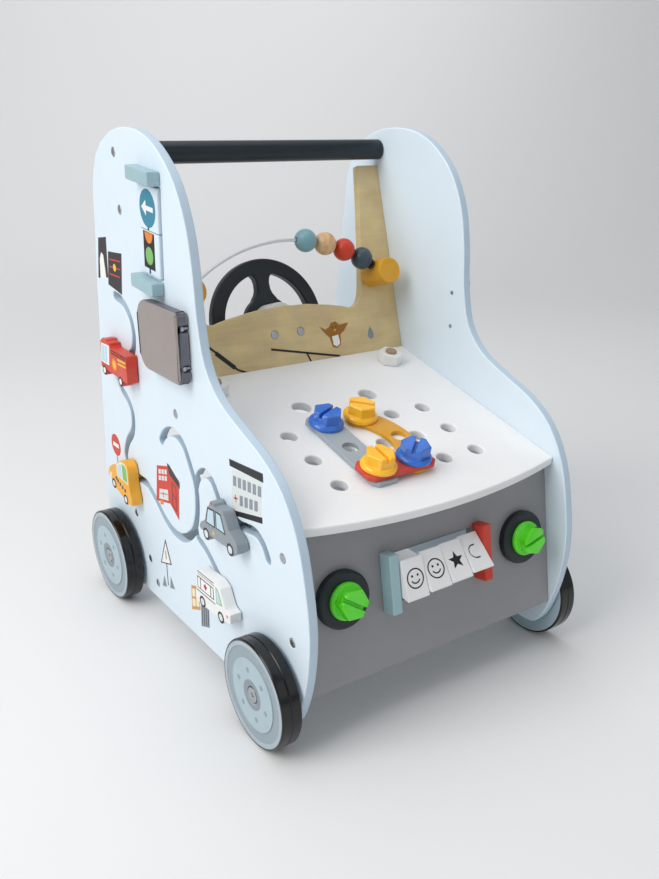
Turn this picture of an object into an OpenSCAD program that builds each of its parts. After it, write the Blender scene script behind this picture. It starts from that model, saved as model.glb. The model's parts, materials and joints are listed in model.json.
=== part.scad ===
// Baby walker in the shape of a small car: two side panels joined by boards and a
// push bar, on four wheels, with play pieces that turn and slide.
// Millimetres. +Z is up, the floor is z = 0, the front is towards -Y, and the
// decorated side panel is on -X.

/* [Body] */
// Height of the side panels above the floor
body_h = 489; // [480:1:500]
// Distance between the outer faces of the side panels
body_w = 302.4; // [290:1:320]
// Thickness of the side panels
panel_t = 9; // [8:1:10]
// Thickness of the hood, front, windscreen and rear boards
board_t = 9; // [8:1:10]
// Slope of the hood, down towards the front, in degrees
hood_slope = 13.9; // [12:0.1:16]
// Lean of the windscreen board, back from upright, in degrees
screen_lean = 15.8; // [13:0.1:18]
// Lean of the front board, its foot forwards, in degrees
front_lean = 9.65; // [8:0.05:11]
// Diameter of the push bar
bar_d = 20; // [18:1:24]

/* [Wheels] */
// Diameter over the tyre
wheel_d = 100; // [96:1:104]
// Width of a wheel
wheel_w = 19.8; // [18:0.1:21]
// Half of the wheelbase
axle_y = 157.7; // [150:1:160]
// Thickness of the washer between panel and wheel
washer_t = 3; // [2:0.5:4]
// Diameter of the wheel bolt
wheel_bolt_d = 8; // [6:1:10]

/* [Play pieces] */
// Hole pitch of the hood across
pitch_x = 38.7; // [36:0.1:40]
// Hole pitch of the hood along its slope
pitch_s = 40.9; // [38:0.1:42]
// Diameter of the hood's bolt holes
hole_d = 15; // [14:0.5:16]
// Thickness of the building strips
strip_t = 4.5; // [4:0.5:5]
// Diameter of the toy bolts' flanges
flange_d = 33; // [30:1:35]
// Diameter of the beads
bead_d = 22.6; // [21:0.2:25]
// Radius of the bead wire's arch
arch_r = 178; // [170:1:215]
// Outer radius of the steering wheel
steer_r = 65; // [60:1:70]
// Width of the maze slots
slot_w = 8.6; // [8:0.1:9]
// Thickness of the maze vehicles
car_t = 11.5; // [10:0.5:16]

/* [Hidden] */
$fn = 48;
// Play left round a shaft that turns
fit = 0.05;
// Play left beside a piece that turns or slides freely
gap = 0.5;
face_x = body_w / 2;
inner_x = face_x - panel_t;
axle_z = wheel_d / 2;
wheel_in_x = face_x + washer_t;
wheel_out_x = wheel_in_x + wheel_w;
// Moves everything along Y so that the finished box is centred on y = 0
y_mid = 4.9;

// Reference points (y, z) of the boards' outer faces
hood_ref = [-108.8, 227.3];
screen_ref = [47, 266];
front_ref = [-188.1, 132];
rear_ref = [70, 30];
bar_ref = [97.8, 466.5];
rear_lean = 32.5;
rear_len = 112;

// Hood: reach behind and before its reference, and how far the front edge bows
hood_back = 161;
hood_front = 80.6;
hood_bow = 17;
big_hole_d = 18.5;
peg_x = 104;
peg_s = 133;
peg_d = 11.5;
nut_across = 27;

// Toy bolts
flange_t = 5;
hex_h = 10;
hex_d = 28;
bolt_slot_w = 3.2;
bolt_nut_t = 10;

// Front board: lamps and picture tiles, measured in the board's own plane
lamp_x = 103.5;
lamp_v = 3.4;
lamp_d = 51;
lamp_t = 8;
tile_n = 4;
tile_w = 23.8;
tile_x = -3;
tile_v = 4.5;
tile_side = 38.5;
tile_rod_h = 8.5;
tile_turn = [13, 25, 30, 40];
holder_w = 10;
holder_h = 54;
holder_t = 15;
window_h = 45;

// Sign unit on the decorated panel
sign_y = 28;
sign_mid = 408.2;
sign_half = 37.8;
sign_lean = 4.5;
sign_w = 38;
sign_t = 14;
sign_holder_w = 44;
sign_holder_z = 11.7;
sign_holder_t = 11.8;

// Wing mirrors
mirror_z = 319.3;
mirror_h = 62.5;
mirror_len = 81;
mirror_t = 11;
mirror_gap = 1.2;
mirror_axis_y = -30.6;
mirror_edge = 4.4;
mirror_eye_dz = 17;
mirror_eye_d = 5.6;
hinge_pin_d = 3;
mirror_axis_x = face_x + mirror_gap + 4.6;

// Bead arch, in a plane in front of the windscreen board
arch_h = 21;
arch_top_v = 119.5;
post_x = 112.3;
post_d = 26.5;
post_len = 36;
wire_d = 3;
stop_angle = 34.3;
stop_t = 2.6;
bead_n = 4;
bead_first_angle = 30.1;
bead_step = 7.42;

// Steering wheel behind the windscreen board
steer_v = 45;
steer_screw_v = 31;
steer_mount_t = 24;
steer_t = 11;
steer_boss_d = 36;
steer_hub_r = 27;
steer_rim_w = 14.5;
steer_cap_d = 46;

// Screws: (y, z) of each screw that joins a side panel to a board
screw_sites = [[97.8, 467.5], [95, 419], [7, 250.5], [124, 108], [96.5, 65], [82, 42],
               [-175.5, 181], [-187.5, 109]];
screw_d = 3.6;
screw_head_d = 8;
screw_head_t = 2.5;
screw_len = 30;

// Maze: peg and the retaining disc behind the panel
peg_r = 4;
disc_r = 9;
disc_t = 3;

// Outline of a side panel (y, z), walked from the rear foot over the top to the front
side_pts = [[176, 22.5], [191, 30], [202, 60], [204, 100], [197, 160], [189, 225], [178, 290],
            [170, 345], [162, 395], [154, 440], [136, 468], [104, 484], [68, body_h],
            [32, 485], [2, 471], [-22, 449], [-38, 418], [-45, 382], [-48, 345], [-57, 310],
            [-79, 286], [-112, 271], [-148, 257], [-177, 237], [-197, 206], [-208, 167],
            [-213.5, 125], [-209, 82], [-197, 44], [-184, 26], [-172, 22.5]];

// Centre lines (y, z) of the maze slots
slot_a = [[126, 337], [108, 334], [93, 322], [88, 306], [93, 290], [104, 281.5], [115, 273],
          [126, 264.5], [136, 256], [132, 243], [118, 235], [109, 222], [113, 203], [128, 188],
          [137, 172], [135, 162], [129, 155.5], [121, 154], [112, 154], [103, 154],
          [94, 154], [85, 153], [68, 143],
          [50, 130], [31, 123], [10, 124], [-10, 136], [-20, 149], [-26, 168], [-26, 190],
          [-16, 209], [-6, 223], [8, 230], [23, 229], [36, 222], [45, 212]];
slot_c = [[-26, 190], [-33, 203], [-45, 210], [-57, 208], [-66, 199], [-72, 191], [-80, 186],
          [-88, 184], [-96, 184], [-104, 184], [-112, 184], [-121, 185.5], [-134, 186.5],
          [-146, 180], [-154, 168]];
slot_d = [[-20, 149], [-24, 138], [-34, 134], [-45, 128], [-57, 119], [-69, 110], [-79, 102.5]];

// Vehicles: rest place of the peg (y, z)
truck_at = [115, 273];
taxi_at = [116, 154];
police_at = [-99, 184];
van_at = [-72, 107.75];

pale_blue = [0.80, 0.90, 0.96];
white_paint = [0.92, 0.92, 0.90];
grey_paint = [0.42, 0.42, 0.44];
slate = [0.16, 0.20, 0.22];
ply = [0.80, 0.68, 0.47];
blue_grey = [0.55, 0.68, 0.72];
red_paint = [0.75, 0.20, 0.13];
yellow_paint = [0.85, 0.62, 0.05];
toy_blue = [0.20, 0.42, 0.78];
toy_yellow = [0.98, 0.75, 0.05];
toy_green = [0.40, 0.88, 0.05];
steel = [0.72, 0.73, 0.75];

// ---- helpers ----

// Smooth curve through points, with n steps between two of them
function smooth(p, n = 4) = [for (i = [0:len(p) - 2], k = [0:n - 1])
    let (a = p[max(i - 1, 0)], b = p[i], c = p[i + 1], d = p[min(i + 2, len(p) - 1)], t = k / n)
    b + t * ((c - a) + t * ((2 * a - 5 * b + 4 * c - d) + t * (3 * b - a - 3 * c + d))) / 2];

// Unit normal of a path at point i
function path_normal(p, i) = let (d = p[min(i + 1, len(p) - 1)] - p[max(i - 1, 0)])
    [-d[1], d[0]] / norm(d);

// Ribbon of constant width along a path, with round ends
module ribbon(p, w) {
    left = [for (i = [0:len(p) - 1]) p[i] + path_normal(p, i) * w / 2];
    right = [for (i = [len(p) - 1:-1:0]) p[i] - path_normal(p, i) * w / 2];
    polygon(concat(left, right));
    for (e = [p[0], p[len(p) - 1]])
        translate(e) circle(d = w, $fn = 24);
}

// Draws a (y, z) outline as a plate from x0 to x1
module plate_x(x0, x1) {
    translate([x0, 0, 0]) rotate([90, 0, 90]) linear_extrude(x1 - x0) children();
}

// Frames of the sloped boards: x across, y up the board, z out of its face
module on_hood() {
    translate([0, hood_ref[0], hood_ref[1]]) rotate([hood_slope, 0, 0]) children();
}
module on_screen() {
    translate([0, screen_ref[0], screen_ref[1]]) rotate([90 - screen_lean, 0, 0]) children();
}
module on_front() {
    translate([0, front_ref[0], front_ref[1]]) rotate([90 - front_lean, 0, 0]) children();
}
module on_signs() {
    translate([0, sign_y, sign_mid]) rotate([sign_lean, 0, 0]) children();
}
module on_rear() {
    translate([0, rear_ref[0], rear_ref[1]]) rotate([90 - rear_lean, 0, 0]) children();
}

// Place of hood hole (column, row) in the hood's plane
function hole_at(c, r) = [c * pitch_x, (1 - r) * pitch_s, 0];

// Rectangle with rounded corners, centred
module round_rect(w, h, r) {
    square([w - 2 * r, h], center = true);
    square([w, h - 2 * r], center = true);
    for (i = [-1, 1], j = [-1, 1])
        translate([i * (w / 2 - r), j * (h / 2 - r)]) circle(r, $fn = 24);
}

// Rectangle with cut corners, centred
module cut_rect(w, h, c) {
    polygon([[w / 2 - c, -h / 2], [w / 2, c - h / 2], [w / 2, h / 2 - c], [w / 2 - c, h / 2],
             [c - w / 2, h / 2], [-w / 2, h / 2 - c], [-w / 2, c - h / 2], [c - w / 2, -h / 2]]);
}

// Holes along X at each screw of both sides
module screw_holes() {
    for (s = screw_sites, m = [0, 1])
        mirror([m, 0, 0]) translate([face_x + 1, s[0], s[1]]) rotate([0, -90, 0])
            cylinder(d = screw_d + 2 * fit, h = screw_len + 2, $fn = 24);
}

// ---- frame ----

module side_outline() {
    polygon(concat(smooth(side_pts, 3), [side_pts[len(side_pts) - 1]]));
}

// Bolt and screw holes of a side panel, as on the +X side
module panel_holes() {
    for (y = [-axle_y, axle_y])
        translate([inner_x - 1, y, axle_z]) rotate([0, 90, 0])
            cylinder(d = wheel_bolt_d + 2 * fit, h = panel_t + 2);
    for (s = screw_sites)
        translate([inner_x - 1, s[0], s[1]]) rotate([0, 90, 0]) {
            cylinder(d = screw_d + 2 * fit, h = panel_t + 2, $fn = 24);
            translate([0, 0, panel_t + 1 - screw_head_t])
                cylinder(d = screw_head_d + 2 * fit, h = screw_head_t + 1, $fn = 24);
        }
    for (dz = [-mirror_eye_dz, mirror_eye_dz])
        translate([inner_x - 1, mirror_axis_y, mirror_z + dz]) rotate([0, 90, 0])
            cylinder(d = hinge_pin_d + 2 * fit, h = panel_t + 2, $fn = 24);
}

module right_side_panel() {
    color(pale_blue) difference() {
        plate_x(inner_x, face_x) side_outline();
        panel_holes();
    }
}

module left_side_panel() {
    color(pale_blue) difference() {
        plate_x(-face_x, -inner_x) difference() {
            side_outline();
            ribbon(smooth(slot_a), slot_w);
            ribbon(smooth(slot_c), slot_w);
            ribbon(smooth(slot_d), slot_w);
            translate([sign_y, sign_mid]) rotate(sign_lean)
                square([sign_w + 4, 2 * sign_half], center = true);
        }
        mirror([1, 0, 0]) panel_holes();
        on_signs() for (z = [-sign_half - 6, sign_half - 0.5])
            translate([sign_rod_x, 0, z]) cylinder(d = 4 + 2 * fit, h = 6.5, $fn = 24);
    }
}
sign_rod_x = -(inner_x + panel_t / 2);

// Flat top of the hood, with its bowed front edge
module hood_outline() {
    half = inner_x;
    bow_r = (half * half + hood_bow * hood_bow) / (2 * hood_bow);
    translate([-half, -hood_front]) square([2 * half, hood_front + hood_back]);
    intersection() {
        translate([0, -hood_front - hood_bow + bow_r]) circle(bow_r, $fn = 120);
        translate([-half, -hood_front - hood_bow - 1]) square([2 * half, hood_bow + 2]);
    }
}

module hood_board() {
    color(white_paint) difference() {
        on_hood() difference() {
            translate([0, 0, -board_t]) linear_extrude(board_t) hood_outline();
            for (c = [-2:2], r = [0:2])
                translate(hole_at(c, r) + [0, 0, -board_t - 1]) cylinder(d = hole_d, h = board_t + 2);
            for (c = [-1, 1])
                translate(hole_at(c, -1) + [0, 0, -board_t - 1])
                    cylinder(d = big_hole_d, h = board_t + 2);
            for (x = [-peg_x, peg_x])
                translate([x, peg_s, -6]) cylinder(d = peg_d, h = 8);
        }
        on_screen() translate([-inner_x - 1, -60, -2 * board_t])
            cube([body_w, 100, 2 * board_t + 0.1]);
        screw_holes();
    }
}

module front_board() {
    color(grey_paint) difference() {
        on_front() difference() {
            translate([-inner_x, -75.6, -board_t]) cube([2 * inner_x, 143, board_t]);
            translate([tile_x, tile_v, -board_t / 2])
                cube([tile_n * tile_w + 1, window_h, board_t + 2], center = true);
            for (x = [-lamp_x, lamp_x])
                translate([x, lamp_v, -board_t - 1]) cylinder(d = hole_d, h = board_t + 2);
        }
        screw_holes();
    }
}

// U shape of the windscreen board: posts that widen downwards, and a low arched crossbar
module windscreen_board() {
    bottom = -26;
    top = 192;
    half = inner_x;
    opening = [[-116, top + 1], [-112, 160], [-105, 110], [-98, 68], [-95.5, 59],
               [-91.5, 52.5], [-86, 49], [-79, 48.6], [-70, 51], [-54, 54], [-28, 57.5],
               [0, 58.5], [28, 57.5], [54, 54], [70, 51], [79, 48.6], [86, 49], [91.5, 52.5],
               [95.5, 59], [98, 68], [105, 110], [112, 160],
               [116, top + 1]];
    color(ply) difference() {
        on_screen() difference() {
            translate([-half, bottom, -board_t]) cube([2 * half, top - bottom, board_t]);
            translate([0, 0, -board_t - 1]) linear_extrude(board_t + 2) polygon(opening);
            for (x = [-15.5, 15.5])
                translate([x, steer_screw_v, -board_t - 1])
                    cylinder(d = screw_d + 2 * fit, h = board_t + 2, $fn = 24);
            for (x = [-15.5, 15.5])
                translate([x, steer_screw_v, -screw_head_t])
                    cylinder(d = screw_head_d + 2 * fit, h = board_t, $fn = 24);
        }
        screw_holes();
    }
}

module rear_board() {
    color(white_paint) difference() {
        on_rear() translate([-inner_x, 0, -board_t]) cube([2 * inner_x, rear_len, board_t]);
        screw_holes();
    }
}

module push_bar() {
    color(slate) difference() {
        translate([-inner_x, bar_ref[0], bar_ref[1]]) rotate([0, 90, 0])
            cylinder(d = bar_d, h = 2 * inner_x, $fn = 64);
        screw_holes();
    }
}

// Countersunk wood screw: head at the origin, shank along -Z
module wood_screw(len) {
    difference() {
        translate([0, 0, -screw_head_t]) cylinder(d = screw_head_d, h = screw_head_t, $fn = 24);
        for (a = [0, 90])
            rotate(a) translate([-2, -0.5, -1]) cube([4, 1, 2]);
    }
    translate([0, 0, -len]) cylinder(d = screw_d, h = len - screw_head_t, $fn = 24);
}

module wood_screws() {
    color(steel) {
        for (s = screw_sites, m = [0, 1])
            mirror([m, 0, 0]) translate([face_x, s[0], s[1]]) rotate([0, 90, 0])
                wood_screw(screw_len);
        on_screen() for (x = [-15.5, 15.5])
            translate([x, steer_screw_v, 0]) wood_screw(24);
    }
}

// ---- wheels ----

module at_wheels() {
    for (y = [-axle_y, axle_y], m = [0, 1])
        mirror([m, 0, 0]) translate([0, y, axle_z]) rotate([0, 90, 0]) children();
}

module wheel_bolts() {
    head_t = 3;
    color(steel) at_wheels() {
        translate([0, 0, inner_x - 9]) cylinder(d = wheel_bolt_d, h = wheel_out_x - head_t - inner_x + 9);
        difference() {
            translate([0, 0, wheel_out_x - head_t - 0.3]) cylinder(d = 14, h = head_t);
            for (a = [0, 90])
                rotate(a) translate([-3, -0.7, wheel_out_x - 1.6]) cube([6, 1.4, 3]);
        }
    }
}

module wheel_washers() {
    color(steel) at_wheels() translate([0, 0, face_x]) difference() {
        cylinder(d = 20, h = washer_t - 0.3);
        translate([0, 0, -1]) cylinder(d = wheel_bolt_d + 2 * fit, h = washer_t + 2);
    }
}

module wheel_nuts() {
    color(steel) at_wheels() translate([0, 0, inner_x - 6.5]) difference() {
        cylinder(d = 15, h = 6.5, $fn = 6);
        translate([0, 0, -1]) cylinder(d = wheel_bolt_d + 2 * fit, h = 9);
    }
}

// Places one wheel: side -1 or 1 along X, end -1 front or 1 rear
module at_wheel(side, end) {
    translate([side * wheel_in_x, end * axle_y, axle_z]) rotate([0, side * 90, 0]) children();
}

module wheel_disc(side, end) {
    disc_r = wheel_d / 2 - 2;
    color(blue_grey) at_wheel(side, end) difference() {
        cylinder(r = disc_r, h = wheel_w, $fn = 96);
        translate([0, 0, -1]) cylinder(d = wheel_bolt_d + 2 * fit, h = wheel_w + 2);
        translate([0, 0, wheel_w - 3.6]) cylinder(d = 17, h = 4);
        translate([0, 0, wheel_w - 1.2]) difference() {
            cylinder(r = disc_r - 4, h = 2, $fn = 96);
            translate([0, 0, -1]) cylinder(r = disc_r - 14, h = 4, $fn = 96);
        }
    }
}

module tyre(side, end) {
    inner_r = wheel_d / 2 - 2;
    color([0.05, 0.05, 0.05]) at_wheel(side, end) rotate_extrude($fn = 96)
        polygon([[inner_r, 0.4], [inner_r + 1.2, 0.4], [inner_r + 2, 1.4],
                 [inner_r + 2, wheel_w / 2 - 0.8], [inner_r + 1, wheel_w / 2],
                 [inner_r + 2, wheel_w / 2 + 0.8], [inner_r + 2, wheel_w - 1.4],
                 [inner_r + 1.2, wheel_w - 0.4], [inner_r, wheel_w - 0.4]]);
}

module wheel_disc_fl() wheel_disc(-1, -1);
module wheel_disc_fr() wheel_disc(1, -1);
module wheel_disc_rl() wheel_disc(-1, 1);
module wheel_disc_rr() wheel_disc(1, 1);
module tyre_fl() tyre(-1, -1);
module tyre_fr() tyre(1, -1);
module tyre_rl() tyre(-1, 1);
module tyre_rr() tyre(1, 1);

// ---- bead arch ----

// In the arch's plane: x across, y up the screen, centre of the arch below its top
module on_arch() {
    on_screen() translate([0, arch_top_v - arch_r, arch_h]) children();
}
arch_end_angle = asin((post_x - post_d / 2 + 6) / arch_r);
post_v = arch_top_v - arch_r + arch_r * cos(asin(post_x / arch_r));

module bead_wire() {
    color(steel) on_arch() rotate(90 - arch_end_angle)
        rotate_extrude(angle = 2 * arch_end_angle, $fn = 180)
            translate([arch_r, 0]) circle(d = wire_d, $fn = 24);
}

module bead_posts() {
    color(yellow_paint) difference() {
        on_screen() for (x = [-post_x, post_x])
            translate([x, post_v, 0]) cylinder(d = post_d, h = post_len);
        on_arch() rotate(90 - arch_end_angle - 0.02)
            rotate_extrude(angle = 2 * arch_end_angle + 0.04, $fn = 180)
                translate([arch_r, 0]) circle(d = wire_d + 2 * fit, $fn = 24);
    }
}

module bead_stops() {
    color([0.05, 0.05, 0.05]) on_arch() for (s = [-1, 1])
        rotate(-s * stop_angle) translate([0, arch_r, 0]) rotate([0, 90, 0])
            translate([0, 0, -stop_t / 2]) difference() {
                cylinder(d = 10, h = stop_t);
                translate([0, 0, -1]) cylinder(d = wire_d + 2 * fit + 0.1, h = 5);
            }
}

module bead(i) {
    angle = -bead_first_angle + (bead_n - i) * bead_step;
    on_arch() rotate(angle) translate([0, arch_r, 0]) rotate([0, 90, 0]) difference() {
        sphere(d = bead_d, $fn = 48);
        translate([0, 0, -bead_d]) cylinder(d = wire_d + 1.6, h = 2 * bead_d, $fn = 24);
    }
}
module bead_1() color([0.50, 0.68, 0.72]) bead(1);
module bead_2() color([0.80, 0.62, 0.42]) bead(2);
module bead_3() color([0.72, 0.16, 0.08]) bead(3);
module bead_4() color([0.20, 0.27, 0.30]) bead(4);

// ---- steering ----

steer_wheel_h = -board_t - steer_mount_t - steer_t - 0.4;

// Block screwed behind the crossbar, with the round boss that the wheel turns on
module steering_mount() {
    boss_len = steer_mount_t + steer_t + 2.6;
    color(ply) on_screen() difference() {
        union() {
            translate([0, 37, -board_t - steer_mount_t]) linear_extrude(steer_mount_t)
                round_rect(52, 38, 8);
            translate([0, steer_v, -board_t - boss_len])
                cylinder(d = steer_boss_d, h = boss_len, $fn = 64);
        }
        for (x = [-15.5, 15.5])
            translate([x, steer_screw_v, -26]) cylinder(d = screw_d + 2 * fit, h = 20, $fn = 24);
    }
}

// Cap on the end of the boss, which keeps the wheel on
module steering_cap() {
    color(slate) on_screen() translate([0, steer_v, steer_wheel_h - 3]) difference() {
        cylinder(d = steer_cap_d, h = 2.7, $fn = 64);
        translate([0, 0, 0.6]) cylinder(d = steer_boss_d + 2 * fit, h = 4, $fn = 64);
    }
}

// Spoke with flared ends, along +Y from the hub to the rim
module steering_spoke() {
    side = [[16, 20], [13, 25], [9.5, 29.5], [7.8, 34], [7.5, 40], [8.6, 45], [11.5, 48.6], [16, 51]];
    polygon(concat(side, [for (i = [len(side) - 1:-1:0]) [-side[i][0], side[i][1]]]));
}

module steering_wheel() {
    color(slate) on_screen() translate([0, steer_v, steer_wheel_h]) difference() {
        linear_extrude(steer_t) {
            difference() {
                circle(steer_r, $fn = 96);
                circle(steer_r - steer_rim_w, $fn = 96);
            }
            circle(steer_hub_r, $fn = 64);
            for (a = [0, 120, 240])
                rotate(a) steering_spoke();
        }
        translate([0, 0, -1]) cylinder(d = steer_boss_d + 2 * fit, h = steer_t + 2, $fn = 64);
    }
}

// ---- signs on the decorated panel ----

module sign_holders() {
    color(blue_grey) on_signs() for (z = [-sign_half - sign_holder_z - 1.5, sign_half + 1.5])
        translate([-face_x - sign_holder_t, -sign_holder_w / 2, z])
            cube([sign_holder_t, sign_holder_w, sign_holder_z]);
}

module sign(k) {
    h = sign_half - 2 * gap;
    color(pale_blue) on_signs() translate([sign_rod_x, 0, gap - sign_half + k * (h + 2 * gap)])
        difference() {
            linear_extrude(h) round_rect(sign_t, sign_w, 1.5);
            translate([0, 0, -1]) cylinder(d = 4 + 4 * fit, h = h + 2, $fn = 24);
        }
}
module sign_light() sign(0);
module sign_arrow() sign(1);

// Steel rods that the signs and the picture tiles turn on
module spin_rods() {
    reach = 4;
    span = tile_n * tile_w / 2 + 0.5;
    color(steel) {
        on_signs() translate([sign_rod_x, 0, -sign_half - 6])
            cylinder(d = 4, h = 2 * sign_half + 12, $fn = 24);
        on_front() translate([tile_x - span - reach, tile_v, tile_rod_h]) rotate([0, 90, 0])
            cylinder(d = 4, h = 2 * (span + reach), $fn = 24);
    }
}

// ---- picture tiles and lamps on the front board ----

module tile_holder(side) {
    span = tile_n * tile_w / 2 + 0.5;
    on_front() translate([tile_x, tile_v, 0]) difference() {
        translate([side > 0 ? span : -span - holder_w, -holder_h / 2, 0])
            cube([holder_w, holder_h, holder_t]);
        translate([-span - 4.2, 0, tile_rod_h]) rotate([0, 90, 0])
            cylinder(d = 4 + 2 * fit, h = 2 * (span + 4.2), $fn = 24);
    }
}
module tile_holder_left() color(blue_grey) tile_holder(-1);
module tile_holder_right() color(red_paint) tile_holder(1);

// Three-sided prism with blunt edges, on the rod
module tile(k) {
    r = tile_side / sqrt(3);
    width = tile_w - 0.6;
    color(white_paint) on_front()
        translate([tile_x + (k - (tile_n + 1) / 2) * tile_w - width / 2, tile_v, tile_rod_h])
            rotate([0, 90, 0]) rotate([0, 0, -tile_turn[k - 1]]) difference() {
                linear_extrude(width) intersection() {
                    circle(r, $fn = 3);
                    circle(r - 1.2, $fn = 48);
                }
                translate([0, 0, -1]) cylinder(d = 4 + 4 * fit, h = tile_w + 2, $fn = 24);
            }
}
module tile_1() tile(1);
module tile_2() tile(2);
module tile_3() tile(3);
module tile_4() tile(4);

module lamp_discs() {
    color(slate) on_front() for (x = [-lamp_x, lamp_x])
        translate([x, lamp_v, 0]) difference() {
            rotate_extrude($fn = 64)
                polygon([[0, 0], [lamp_d / 2, 0], [lamp_d / 2, lamp_t - 2],
                         [lamp_d / 2 - 2, lamp_t], [0, lamp_t]]);
            translate([0, 0, -1]) cylinder(d = hole_d, h = lamp_t + 2);
        }
}

// ---- toy bolts, nuts and strips ----

// Toy bolt: underside of its flange at z = 0, shank of the given length below
module toy_bolt(shank) {
    difference() {
        union() {
            cylinder(d = flange_d, h = flange_t - 2);
            translate([0, 0, flange_t - 2]) cylinder(d1 = flange_d, d2 = flange_d - 4, h = 2);
            translate([0, 0, flange_t - 1]) rotate(30) cylinder(d = hex_d, h = hex_h, $fn = 6);
            translate([0, 0, flange_t + hex_h - 1]) rotate(30)
                cylinder(d1 = hex_d, d2 = hex_d - 2, h = 1, $fn = 6);
        }
        translate([-hex_d, -bolt_slot_w / 2, flange_t + hex_h - 5]) cube([2 * hex_d, bolt_slot_w, 6]);
    }
    translate([0, 0, -shank]) cylinder(d = hole_d - 2 * fit, h = shank + 0.5);
}

module hood_bolt(c, r, lift, turn) {
    on_hood() translate(hole_at(c, r) + [0, 0, lift + 0.1]) rotate(turn)
        toy_bolt(lift + board_t + bolt_nut_t + 3);
}
module bolt_blue_rear() color(toy_blue) hood_bolt(-1, 0, strip_t, 24);
module bolt_yellow_rear() color(toy_yellow) hood_bolt(0, 0, strip_t, -36);
module bolt_yellow_front() color(toy_yellow) hood_bolt(-1, 2, 2 * strip_t, 88);
module bolt_blue_front() color(toy_blue) hood_bolt(0, 2, 2 * strip_t, 42);

module lamp_bolt(side, turn) {
    color(toy_green) on_front() translate([side * lamp_x, lamp_v, lamp_t + 0.1]) rotate(turn)
        toy_bolt(lamp_t + board_t + bolt_nut_t + 3);
}
module bolt_green_left() lamp_bolt(-1, -35);
module bolt_green_right() lamp_bolt(1, 14);

module toy_nut() {
    difference() {
        cylinder(d = nut_across, h = bolt_nut_t, $fn = 6);
        translate([0, 0, -1]) cylinder(d = hole_d, h = bolt_nut_t + 2);
    }
}

module toy_nuts() {
    color(white_paint) {
        on_hood() for (p = [[-1, 0], [0, 0], [-1, 2], [0, 2]])
            translate(hole_at(p[0], p[1]) + [0, 0, -board_t - bolt_nut_t]) toy_nut();
        on_front() for (x = [-lamp_x, lamp_x])
            translate([x, lamp_v, -board_t - bolt_nut_t]) toy_nut();
    }
}

module strip_straight() {
    color(blue_grey) on_hood() difference() {
        translate(hole_at(-1, 1)) linear_extrude(strip_t)
            cut_rect(29, 2 * pitch_s + 34, 5);
        for (r = [0:2])
            translate(hole_at(-1, r) + [0, 0, -1]) cylinder(d = hole_d, h = strip_t + 2);
    }
}

// Ring sector that bows sideways by 16 between the two bolts it hangs on
module strip_curved() {
    bow = 16;
    curve_r = (pitch_s * pitch_s + bow * bow) / (2 * bow);
    sweep = asin(pitch_s / curve_r);
    half_w = 12.5;
    color([0.72, 0.50, 0.03]) on_hood() difference() {
        linear_extrude(strip_t) {
            translate([bow - curve_r, 0]) intersection() {
                difference() {
                    circle(curve_r + half_w, $fn = 96);
                    circle(curve_r - half_w, $fn = 96);
                }
                polygon([[0, 0], [200, -200 * tan(sweep)], [200, 200 * tan(sweep)]]);
            }
            for (r = [0, 2])
                translate([0, (1 - r) * pitch_s]) circle(half_w + 1.2);
        }
        for (r = [0, 2])
            translate(hole_at(0, r) + [0, 0, -1]) cylinder(d = hole_d, h = strip_t + 2);
        translate([bow, 0, -1]) cylinder(d = hole_d, h = strip_t + 2);
    }
}

module strip_short() {
    color(red_paint) on_hood() translate([0, 0, strip_t]) difference() {
        translate(hole_at(-0.5, 2)) linear_extrude(strip_t) cut_rect(pitch_x + 36, 29, 5);
        for (c = [-1, 0])
            translate(hole_at(c, 2) + [0, 0, -1]) cylinder(d = hole_d, h = strip_t + 2);
    }
}

module nut_pegs() {
    color(ply) on_hood() for (x = [-peg_x, peg_x])
        translate([x, peg_s, -5.9]) cylinder(d = peg_d - 2 * fit, h = 19.4);
}

module hex_nut(side) {
    nut_h = 11;
    color(white_paint) on_hood() translate([side * peg_x, peg_s, 0.2]) difference() {
        rotate(25) cylinder(d = nut_across, h = nut_h, $fn = 6);
        translate([0, 0, -1]) cylinder(d = peg_d, h = nut_h + 2);
    }
}
module hex_nut_left() hex_nut(-1);
module hex_nut_right() hex_nut(1);

// ---- wing mirrors ----

// Outline (y, z) of the plate, from its front edge, with larger corners at the rear
module mirror_outline() {
    hull() {
        translate([5, mirror_h / 2 - 5]) circle(5);
        translate([6, 6 - mirror_h / 2]) circle(6);
        translate([mirror_len - 16, mirror_h / 2 - 16]) circle(16);
        translate([mirror_len - 15, 15 - mirror_h / 2]) circle(15);
    }
}

// Plate hinged near its front edge, as on the +X side
module mirror_plate() {
    front_y = mirror_axis_y - mirror_edge;
    in_x = face_x + mirror_gap;
    color([0.45, 0.40, 0.38]) difference() {
        intersection() {
            plate_x(in_x, in_x + mirror_t) translate([front_y, mirror_z]) mirror_outline();
            translate([in_x + mirror_t / 2, front_y + mirror_len / 2, mirror_z - mirror_h])
                linear_extrude(2 * mirror_h) round_rect(mirror_t, mirror_len, 2);
        }
        translate([mirror_axis_x, mirror_axis_y, mirror_z - mirror_h])
            cylinder(d = hinge_pin_d + 2 * fit, h = 2 * mirror_h, $fn = 24);
        for (dz = [-mirror_eye_dz, mirror_eye_dz])
            translate([in_x - 1, front_y - 1, mirror_z + dz - 2.7])
                cube([mirror_axis_x - in_x + 4.1, mirror_edge + 4.4, 5.4]);
    }
}
module mirror_right() mirror_plate();
module mirror_left() mirror([1, 0, 0]) mirror_plate();

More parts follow.
